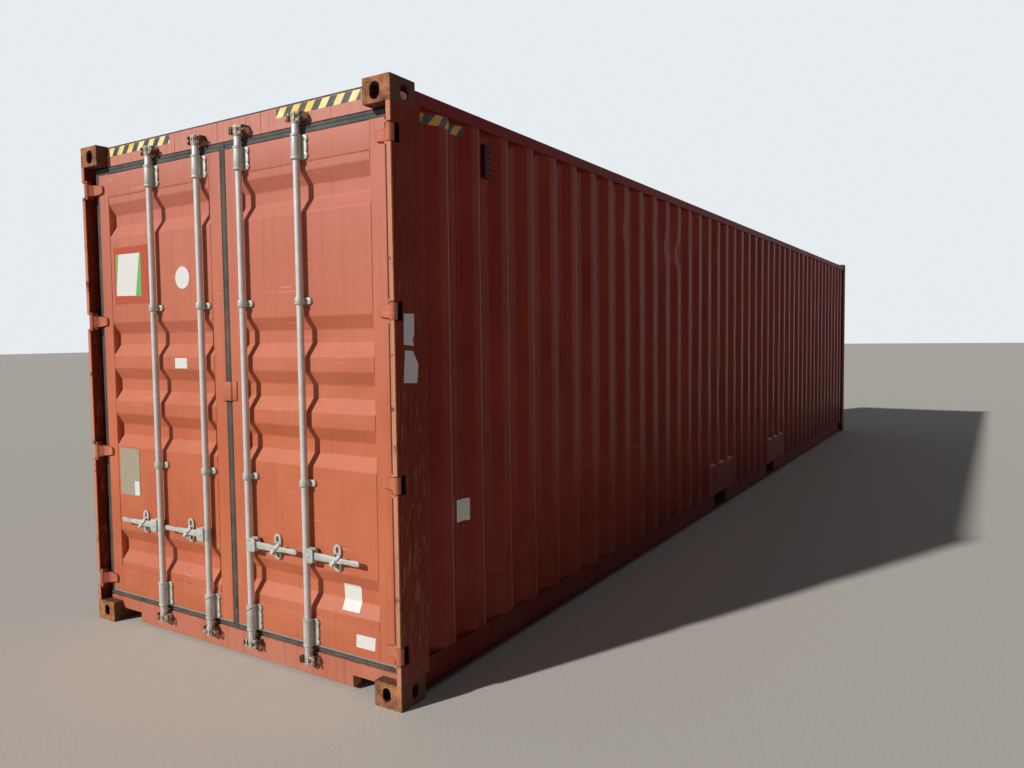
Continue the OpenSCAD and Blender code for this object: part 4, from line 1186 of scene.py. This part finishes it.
@dataclass
class LockBar:
    """Turned lock bar with forged cams, collars and the hub of its handle.

    Attributes:
        number: Which bar, from 1 at the left to 4 at the right.
        side: Side of the box.
        y: Distance of the bar from the middle.
        low: Lower end.
        high: Upper end.
    """

    number: int
    side: Side
    y: float
    low: float = 0.083
    high: float = 2.828

    def cam(self, mould: Mould, low: float, up: int) -> None:
        """Adds a forged cam.

        Args:
            mould: The mould that gets it.
            low: Height of the cam's lower face.
            up: 1 where the bar comes from above, -1 where it comes from below.
        """
        high = low + CAM_H
        centre = (door_x(BAR_D), self.y)
        nose, core = ([(x + centre[0], y + centre[1]) for x, y in outline] for outline in (
            arc((0, 0), 0.0215, 150, 390, 18) + arc((0, 0.0225), 0.0105, 10, 170, 8),
            arc((0.002, 0), 0.0165, 150, 390, 18) + arc((0.003, 0.021), 0.0065, 10, 170, 8)))
        for z0, z1 in ((low + 0.5 * MM, low + 0.014), (high - 0.015, high - 0.5 * MM)):
            mould.prism(nose, Axis.Z, z0, z1)
        mould.prism(core, Axis.Z, low + 0.013, high - 0.014)
        for y0, y1 in ((-0.010, -0.004), (0.008, 0.014)):
            mould.block((door_x(0.009), self.y + y0, low + 0.006), (door_x(0.020), self.y + y1, high - 0.006))
        base = high if up > 0 else low
        steps = [(0.0215, 0.0), (0.0215, 0.007), (0.0195, 0.011), (0.0188, 0.012)]
        mould.turned([(r, base + up * h) for r, h in steps], centre, Axis.Z, 28)

    def build(self, finishes: Finishes) -> None:
        """Builds the bar with its cams and its hub.

        Args:
            finishes: The materials.
        """
        centre = (door_x(BAR_D), self.y)
        body = f"bar_{self.number}"
        bar = Mould(self.side)
        bar.turned([(BAR_R - 2 * MM, self.low + 2 * MM), (BAR_R, self.low + 4 * MM), (BAR_R, 0.9), (BAR_R, 1.9),
                    (BAR_R, self.high - 4 * MM), (BAR_R - 2 * MM, self.high - 2 * MM)], centre, Axis.Z, 32)
        # Pressed on sleeves between the cams and the guides
        bar.turned([(0.0175, 0.128), (0.0192, 0.132), (0.0192, 0.168), (0.0200, 0.1695), (0.0200, 0.1775)],
                   centre, Axis.Z, 32)
        bar.turned([(0.0200, 2.7235), (0.0200, 2.732), (0.0192, 2.7335), (0.0192, 2.779), (0.0175, 2.783)],
                   centre, Axis.Z, 32)
        bar.done(f"lock_bar_{self.number}_tube", body, Slot.ZINC, finishes.bar, [f"lock_bar_{self.number}"])
        cams = Mould(self.side)
        self.cam(cams, self.low, 1)
        self.cam(cams, self.high - CAM_H, -1)
        cams.done(f"lock_bar_{self.number}_cams", body, Slot.ZINC, finishes.cam, bevel=1.6 * MM)
        hub = Mould(self.side)
        y, z = self.y, HANDLE_Z
        half = 0.036
        cheek = bend([(y + a, z + b) for a, b in ((0.012, -half), (0.060, -half), (0.068, -0.026), (0.068, 0.026),
                                                  (0.060, half), (0.012, half))], 4 * MM, closed=True)
        hub.prism(cheek, Axis.X, door_x(0.0045), door_x(0.0138))
        hub.prism([(max(a, y + 0.014), b) for a, b in cheek], Axis.X, door_x(0.0272), door_x(0.0455))
        web = [(y + a, z + b) for a, b in ((0.0125, -half), (0.021, -half), (0.021, half), (0.0125, half))]
        hub.prism(web, Axis.X, door_x(0.006), door_x(0.0455))
        hub.turned([(0.0172, z - half), (0.0182, z - half + 3 * MM), (0.0182, z + half - 3 * MM), (0.0172, z + half)],
                   centre, Axis.Z, 28)
        hub.rivet((y + 0.037, z), door_x(0.0046), 0.0085, -3.6 * MM)
        for b in (-0.024, 0.024):
            hub.rivet((y + 0.023, z + b), door_x(0.0046), 0.0045, -2.4 * MM)
        hub.done(f"lock_bar_{self.number}_hub", body, Slot.ZINC, finishes.fitting, bevel=2 * MM)


@dataclass
class LockHandle:
    """Flat forged handle with the swing catch that seals it.

    Attributes:
        number: Which handle, as its bar.
        side: Side of the box.
        y: Distance of its bar from the middle.
        length: Reach from the bar.
        high: Height of the flat.
        deep: Depth of its front face.
        thick: Thickness of the flat.
        catch_y: Where the catch of each side hangs, from the bar.
    """

    number: int
    side: Side
    y: float
    length: float = 0.366
    high: float = 0.030
    deep: float = 0.0145
    thick: float = 0.012
    catch_y: dict[Side, float] = field(default_factory=lambda: {Side.LEFT: 0.160, Side.RIGHT: 0.212})

    def build(self, finishes: Finishes) -> None:
        """Builds the flat, its grip and the catch.

        Args:
            finishes: The materials.
        """
        y, z, h = self.y, HANDLE_Z, self.high / 2
        # Reach from the bar, and how far the edge stands out from the flat's
        edge = [(0.064, 3), (0.165, 3), (0.190, 0), (0.236, 0), (0.258, -3), (0.300, -3.4), (0.322, -1.2)]
        line = arc((y + 0.037, z), 0.0158, 100, 260, 10) + [(y + a, z - h - b * MM) for a, b in edge]
        line += arc((y + self.length - 0.0142, z), 0.0138, -80, 80, 10)
        line += [(y + a, z + h + b * MM) for a, b in reversed(edge)]
        flat = Mould(self.side)
        flat.prism(line, Axis.X, door_x(self.deep), door_x(self.deep + self.thick))
        flat.done(f"lock_handle_{self.number}_flat", f"handle_{self.number}", Slot.ZINC, finishes.fitting,
                  [f"lock_handle_{self.number}"], bevel=2.5 * MM)
        catch = Mould(self.side)
        # The catches of both doors hang with the same slant
        lean = -42 * self.side.value
        middle = (y + self.catch_y[self.side], z)
        catch.prism(capsule(middle, 0.090, 0.0175, lean, 8), Axis.X, door_x(self.deep - 5.8 * MM),
                    door_x(self.deep + 0.5 * MM))
        catch.bolt(middle, door_x(self.deep - 5.6 * MM), 5.5 * MM, -4.4 * MM, 10)
        catch.done(f"lock_handle_{self.number}_catch", f"handle_{self.number}", Slot.ZINC, finishes.bar,
                   bevel=1 * MM)


@dataclass
class DoorFittings:
    """Guides, handle rests and lock plate that are bolted to a door leaf.

    Attributes:
        side: Side of the box.
        bars: Distances of the bars from the middle.
        rest_y: Where the handle rests of each side stand, from the bar.
    """

    side: Side
    bars: tuple[float, float] = BARS
    rest_y: dict[Side, float] = field(default_factory=lambda: {Side.LEFT: 0.176, Side.RIGHT: 0.192})

    def guide(self, mould: Mould, rivets: Mould, y: float, low: float, high: float) -> None:
        """Adds one guide: a sleeve round the bar on a riveted flange.

        Args:
            mould: Mould of the forgings.
            rivets: Mould of the rivets.
            y: Distance of the bar from the middle.
            low: Lower end.
            high: Upper end.
        """
        bore, outside, seat = 0.0183, 0.0245, LEAF_D - 0.0095
        opened = math.degrees(math.asin((seat - BAR_D) / outside))
        front = arc((0, 0), outside, opened, -180 - opened, 28)
        outer = [(0.024, seat - BAR_D + 4 * MM), *front, (-0.024, seat - BAR_D + 4 * MM)]
        inner = arc((0, 0), bore, 90, -270 + 0.1, len(outer) - 1)
        outer = [(door_x(BAR_D + d), y + a) for a, d in outer]
        inner = [(door_x(BAR_D + d), y + a) for a, d in inner]
        mould.ring(outer, inner, Axis.Z, low, high)
        tall = high - low > 0.06
        for z in ((low, low + 0.011), (high - 0.011, high)) if tall else ():
            rim, hole = ([(door_x(BAR_D + d), y + a) for a, d in arc((0, 0), r, 0, -350, 35)] for r in (0.0268, 0.022))
            mould.ring(rim, hole, Axis.Z, *z)
        spots = (low + 0.020, high - 0.020) if tall else ((low + high) / 2,)
        lobe, wide, waist = 0.014, 0.056, 0.049
        right = [(0.030, low)]
        for z in spots:
            right += [(waist, max(z - lobe - 2 * MM, low)), *arc((wide - lobe, z), lobe, -55, 55, 6),
                      (waist, min(z + lobe + 2 * MM, high))]
        if tall:
            right[10:10] = [(waist, low + 0.040), (wide - 3 * MM, low + 0.046), (wide - 3 * MM, high - 0.046),
                          (waist, high - 0.040)]
        right.append((0.030, high))
        line = right + [(-a, b) for a, b in reversed(right)]
        mould.prism([(y + a, b) for a, b in line], Axis.X, door_x(LEAF_D - 0.0092), door_x(LEAF_D + 0.3 * MM))
        for z in spots:
            for way in (-1, 1):
                rivets.rivet((y + way * 0.0445, z), door_x(LEAF_D - 0.009), 5.6 * MM, -4 * MM)

    def rest(self, mould: Mould, y: float) -> None:
        """Adds one handle rest: a plate with an eye above and below, and a shelf.

        Args:
            mould: Mould of the forgings.
            y: Distance of the rest from the middle.
        """
        back, front = door_x(LEAF_D + 0.3 * MM), door_x(LEAF_D - 0.0085)
        for way in (-1, 1):
            z = HANDLE_Z + way * 0.033
            outer = [(y + b, a) for a, b in capsule((z, 0), 0.070, 0.052, 0, 10)]
            inner = [(y + b, a) for a, b in capsule((z + way * 6 * MM, 0), 0.031, 0.0145, 0, 10)]
            mould.ring(outer, inner, Axis.X, front, back)
        mould.prism(box_outline((y - 0.0165, HANDLE_Z - 0.019), (y + 0.0165, HANDLE_Z + 0.019), 2 * MM), Axis.X,
                    front, back)
        top = HANDLE_Z - 0.0153
        hook = [(0.0588, top), (0.0200, top), (0.0198, top - 0.0255), (0.0272, top - 0.0255), (0.0280, top - 0.010),
                (0.0588, top - 0.012)]
        mould.prism([(door_x(d), z) for d, z in hook], Axis.Y, y - 0.0145, y + 0.0145)

    def build(self, finishes: Finishes) -> None:
        """Builds all fittings of one door.

        Args:
            finishes: The materials.
        """
        name = self.side.name.lower()
        forged, rivets = Mould(self.side), Mould(self.side)
        for y in self.bars:
            for low, high in ((0.180, 0.318), (0.990, 1.024), (1.896, 1.930), (2.601, 2.721)):
                self.guide(forged, rivets, y, low, high)
            self.rest(forged, y + self.rest_y[self.side])
        forged.done(f"{name}_guides", f"{name}_door", Slot.ZINC, finishes.fitting,
                    [f"{name}_door_fittings"], bevel=1.2 * MM, angle=40)
        # The right plate is cranked and laps over a strip on the left door
        plate = Mould(self.side)
        line = [(0.0583, 0.005), (0.0583, 0.033), (0.0530, 0.033), (0.0530, 0.005)]
        if self.side is Side.RIGHT:
            line = [(0.0583, 0.0765), (0.0525, 0.0765), (0.0525, 0.0440), (0.0440, 0.0385), (0.0440, -0.0350),
                    (0.0485, -0.0350), (0.0485, 0.0340), (0.0583, 0.0410)]
        plate.prism([(door_x(d), y) for d, y in line], Axis.Z, 1.3995, 1.5025)
        plate.done(f"{name}_lock_plate", f"{name}_door", Slot.WALL, finishes.hinge, bevel=1 * MM)
        rivets.done(f"{name}_rivets", f"{name}_door", Slot.ZINC, finishes.bar)
        tie = Mould(self.side)
        y = self.bars[1]
        tie.tube([(door_x(BAR_D + 0.0285 * math.cos(t)), y + 0.031 * math.sin(t),
                   0.296 - 0.024 * self.side.value * math.sin(t))
                  for t in (2 * math.pi * k / 28 for k in range(28))], 1.8 * MM, closed=True)
        tie.done(f"{name}_wire_tie", f"{name}_door", Slot.ZINC, finishes.bar)


@dataclass
class Keepers:
    """Forged keepers on the header and the sill that hold the cams.

    Attributes:
        bars: Distances of the bars from the middle.
        front: Depth of the keepers' front.
    """

    bars: tuple[float, float] = BARS
    front: float = 0.0145

    def keeper(self, mould: Mould, y: float, face: float, low: float) -> None:
        """Adds one keeper: two ears and the plate between them.

        Args:
            mould: The mould that gets it.
            y: Distance of the bar from the middle.
            face: Depth of the steel that it is welded to.
            low: Height of its lower end.
        """
        middle = low + CAM_H / 2
        ear = [(face, -0.0232), (0.036, -0.0232), (0.024, -0.0200), (self.front, -0.0110), (self.front, 0.0110),
               (0.024, 0.0200), (0.036, 0.0232), (face, 0.0232)]
        mould.prism([(door_x(d), middle + z) for d, z in ear], Axis.Y, y - 0.0378, y - 0.0284)
        eye, hole = ([(y - 0.040 + b, middle + a) for a, b in capsule((0, 0), length, width)]
                     for length, width in ((0.044, 0.028), (0.028, 0.013)))
        mould.ring(eye, hole, Axis.X, door_x(self.front), door_x(self.front + 9 * MM))
        claw = [(face, -0.0232), (0.030, -0.0232), (self.front + 1 * MM, -0.0205), (self.front, -0.0090),
                (0.021, -0.0060), (0.026, 0.0), (0.021, 0.0060), (self.front, 0.0090), (self.front + 1 * MM, 0.0205),
                (0.030, 0.0232), (face, 0.0232)]
        mould.prism([(door_x(d), middle + z) for d, z in claw], Axis.Y, y + 0.0404, y + 0.0498)
        mould.prism(box_outline((y - 0.0378, low), (y + 0.0498, low + CAM_H), 4 * MM), Axis.X,
                    door_x(face - 2.4 * MM), door_x(face + 0.3 * MM))

    def build(self, finishes: Finishes) -> None:
        """Builds all eight keepers.

        Args:
            finishes: The materials.
        """
        both = Mould()
        for side in Side:
            both.sign = side.value
            for y in self.bars:
                self.keeper(both, y, 0.070, 2.781)
                self.keeper(both, y, 0.060, 0.083)
        both.done("forged_keepers", "container", Slot.RUST, finishes.keeper, ["lock_keepers"], bevel=1.8 * MM)


@dataclass
class Markings:
    """Warning stripes, blank labels and plates, and a dark strip of painted shade along the roof's edge.

    Attributes:
        film: Thickness that a film stands proud by.
    """

    film: float = 0.4 * MM

    def label(self, name: str, body: str, slot: Slot, material: bpy.types.Material, outline: Sequence[Point],
              face: float, proud: float = 0.0) -> None:
        """Sticks a flat label on the door end.

        Args:
            name: Name of the piece.
            body: Body that it rides on.
            slot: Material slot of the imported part.
            material: Its finish.
            outline: Outline as place across and height.
            face: Depth of the face that it is stuck to.
            proud: Thickness, or the film's own when 0.
        """
        mould = Mould()
        mould.prism(outline, Axis.X, door_x(face - (proud or self.film)), door_x(face + 0.3 * MM))
        mould.done(name, body, slot, material)

    def build(self, finishes: Finishes) -> None:
        """Builds the markings of the door end and of both sides.

        Args:
            finishes: The materials.
        """
        for name, y0, y1 in (("left", 1.051, 0.449), ("right", -0.419, -0.985)):
            self.label(f"header_stripes_{name}", "container", Slot.FRAME, finishes.stripes,
                       box_outline((y1, 2.834), (y0, 2.8805), 2 * MM), 0.070)
        door = LEAF_D + 1.5 * MM
        left = [("old_label_patch", finishes.patch, box_outline((0.676, 1.948), (1.012, 2.286), 4 * MM), 0.3 * MM),
                ("large_label", finishes.white_film, [(0.992, 1.998), (0.745, 1.992), (0.743, 2.243), (0.991, 2.244)],
                 0.6 * MM),
                ("label_edge_1", finishes.green_film, [(0.988, 2.060), (0.992, 2.060), (0.991, 2.244), (0.962, 2.244)],
                 0.8 * MM),
                ("label_edge_2", finishes.green_film, [(0.800, 1.993), (0.745, 1.992), (0.743, 2.243), (0.754, 2.243)],
                 0.8 * MM),
                ("round_label", finishes.white_film, arc((0.360, 2.077), 0.062, 0, 350, 35), 0.8 * MM),
                ("small_label", finishes.white_film, box_outline((0.342, 1.568), (0.450, 1.626), 2 * MM), 0.8 * MM),
                ("rating_plate", finishes.plate, box_outline((0.826, 0.793), (1.021, 1.078), 6 * MM), 1.6 * MM),
                ("plate_label", finishes.white_film, box_outline((0.834, 0.797), (0.880, 0.882), 2 * MM), 2.0 * MM)]
        for name, material, outline, proud in left:
            self.label(name, "left_door", Slot.WALL, material, outline, door, proud + 1.2 * MM)
        pressed = stretch(sorted(DoorLeaf(Side.RIGHT, 0.030).profile()), 0.390, 0.516)
        drop = [(z, d - 0.6 * MM) for z, d in pressed]
        low = Mould(Side.RIGHT)
        low.sheet(drop, [0.786, 0.843, 0.899], 0.4 * MM,
                  lambda u, w, v: (door_x(w), v + 0.06 * (0.516 - u), u))
        low.done("low_label", "right_door", Slot.WALL, finishes.white_film, angle=50)
        self.label("lowest_label", "right_door", Slot.WALL, finishes.white_film,
                   [(-1.012, 0.226), (-0.892, 0.225), (-0.896, 0.289), (-1.018, 0.290)], LEAF_D + 1.5 * MM, 2 * MM)
        self.label("seal_scar", "right_door", Slot.RUBBER, finishes.sealant_and_shade,
                   box_outline((-0.022, 0.268), (-0.010, 0.318), 4 * MM), 0.0588, 1.6 * MM)
        for side in Side:
            folds = SideWall(side).profile()
            name = side.name.lower()
            for title, start, end, rows, material in (
                    ("side_stripes", 0.262, 0.600, [2.739, 2.765, 2.790], finishes.side_stripes),
                    ("side_label", 0.513, 0.605, [0.775, 0.830, 0.890], finishes.white_film)):
                line = stretch(folds, door_x(start), door_x(end))
                film = Mould(side)
                film.sheet(beside(line, 0.8 * MM), rows, -0.4 * MM, lambda u, w, v: (u, w, v))
                film.done(f"{title}_{name}", "container", Slot.WALL, material, angle=50)
        for k, line in enumerate((((0.068, 1.835), (0.142, 1.836), (0.141, 1.743), (0.130, 1.721), (0.138, 1.687),
                                   (0.064, 1.694)),
                                  ((0.072, 1.668), (0.128, 1.665), (0.168, 1.602), (0.156, 1.514), (0.059, 1.519)))):
            scrap = Mould(Side.RIGHT)
            scrap.prism([(door_x(d), z) for d, z in line], Axis.Y, 1.2188, 1.2194)
            scrap.done(f"paper_remains_{k + 1}", "container", Slot.FRAME, finishes.paper)
        # Painted shade: a dark strip along the top of the header stands for the shaded line at the roof's edge
        edge_shade = Mould()
        edge_shade.prism(box_outline((door_x(0.0745), 2.884), (door_x(0.120), 2.8935), 3 * MM), Axis.Y, -1.052, 1.052)
        edge_shade.done("roof_edge_shade_strip", "container", Slot.FRAME, finishes.sealant_and_shade)
        seams = Mould()
        for y in (0.405, 0.039, -0.302):
            seams.tube([(door_x(0.0698), y, 2.779 + t * 0.0103) for t in range(11)], 1.6 * MM, 6)
        seams.done("header_seams", "container", Slot.FRAME, finishes.end)


@dataclass
class Studio:
    """Pale floor, soft light and the camera at the photograph's place.

    Attributes:
        camera_at: Place of the camera.
        lens: Focal length for a 36 mm wide sensor.
        shift: Shift of the lens across and up.
        sun: Direction in which the key light shines.
    """

    camera_at: Point3 = (-8.81507, -3.50506, 1.72593)
    lens: float = 27.568
    shift: Point = (0.01166, -0.0048)
    sun: Point3 = (0.80, -0.36, -0.49)

    def place_camera(self) -> None:
        """Makes the camera and turns it as the photograph's was."""
        azimuth, elevation, roll = (math.radians(v) for v in (-32.43474, -3.10789, -0.71052))
        forward = Vector((math.sin(azimuth) * math.cos(elevation), math.cos(azimuth) * math.cos(elevation),
                          math.sin(elevation)))
        right = forward.cross(Vector((0, 0, 1))).normalized()
        up = right.cross(forward)
        turned_right = right * math.cos(roll) + up * math.sin(roll)
        turned_up = -right * math.sin(roll) + up * math.cos(roll)
        axes = [Vector((v.y, -v.x, v.z)) for v in (turned_right, turned_up, -forward)]
        data = bpy.data.cameras.new("camera")
        data.sensor_width = 36
        data.lens = self.lens
        data.shift_x, data.shift_y = self.shift
        data.clip_end = 500
        camera = link("camera", data)
        camera.matrix_world = Matrix.Translation(self.camera_at) @ Matrix(axes).transposed().to_4x4()
        bpy.context.scene.camera = camera

    def light(self) -> None:
        """Adds the soft key light and the pale surroundings."""
        key = bpy.data.lights.new("key", "SUN")
        key.energy = 3.55
        key.angle = math.radians(2.0)
        lamp = link("key", key)
        lamp.rotation_mode = "QUATERNION"
        lamp.rotation_quaternion = Vector(self.sun).to_track_quat("-Z", "Y")
        world = bpy.data.worlds.new("surroundings")
        bpy.context.scene.world = world
        world.use_nodes = True
        tree = world.node_tree
        tree.nodes.clear()
        path = add(tree, "ShaderNodeLightPath").node.outputs
        soft = add(tree, "ShaderNodeBackground", {"Color": (0.80, 0.89, 1.0, 1.0), "Strength": 0.085})
        pale = add(tree, "ShaderNodeBackground", {"Color": (0.80, 0.84, 0.88, 1.0), "Strength": 1.0})
        glass = add(tree, "ShaderNodeMath", {0: path["Is Camera Ray"], 1: path["Is Transmission Ray"]},
                    operation="MAXIMUM")
        gloss = add(tree, "ShaderNodeMath", {0: path["Is Glossy Ray"], 1: 0.5}, operation="MULTIPLY")
        seen = add(tree, "ShaderNodeMath", {0: glass, 1: gloss}, operation="MAXIMUM")
        both = add(tree, "ShaderNodeMixShader", {0: seen, 1: soft, 2: pale})
        add(tree, "ShaderNodeOutputWorld", {"Surface": both})

    def floor(self) -> None:
        """Lays the pale floor, as wide as the eye can follow."""
        mesh = bpy.data.meshes.new("studio_floor")
        reach = 120.0
        mesh.from_pydata([(-reach, -reach, 0), (reach, -reach, 0), (reach, reach, 0), (-reach, reach, 0)], [],
                         [(0, 1, 2, 3)])
        mesh.materials.append(Screed().build())
        link("studio_floor", mesh)


def dress_frame(finishes: Finishes) -> None:
    """Gives every CAD node that stays its finish.

    Args:
        finishes: The materials.
    """
    looks = ((("castings",), finishes.casting), (("post",), finishes.post),
             (("door_header", "door_sill"), finishes.end), (("rail",), finishes.rail),
             (("wall", "roof", "cover_plates"), finishes.wall), (("ventilators",), finishes.vent),
             (("leaf",), finishes.door), (("seal",), finishes.rubber), (("hinges",), finishes.hinge),
             (("fittings", "lock_"), finishes.fitting), (("floor_boards",), finishes.floor),
             (("cross_members", "fork_pockets", "neck_tunnel"), finishes.under))
    for words, material in looks:
        for name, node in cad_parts.items():
            if any(word in name for word in words):
                node.data.materials.clear()
                node.data.materials.append(material)


def main() -> None:
    """Builds the container's looks in order and reports each piece."""
    logging.basicConfig(level=logging.INFO, format="%(name)s: %(message)s")
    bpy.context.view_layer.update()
    bpy.context.scene.view_settings.view_transform = "Standard"
    studio = Studio()
    studio.place_camera()
    studio.light()
    studio.floor()
    finishes = Finishes()
    dress_frame(finishes)
    for side in Side:
        SideWall(side).build(finishes)
    DoorLeaf(Side.LEFT, 0.011).build(finishes)
    DoorLeaf(Side.RIGHT, 0.030).build(finishes)
    DoorSeal(Side.LEFT, 0.011, 0.005).build(finishes)
    DoorSeal(Side.RIGHT, 0.030, 0.003).build(finishes)
    places = [(Side.LEFT, y) for y in BARS] + [(Side.RIGHT, y) for y in reversed(BARS)]
    for number, (side, y) in enumerate(places, 1):
        LockBar(number, side, y).build(finishes)
        LockHandle(number, side, y).build(finishes)
    for side in Side:
        DoorFittings(side).build(finishes)
    Keepers().build(finishes)
    Markings().build(finishes)


if __name__ == "__main__":
    main()
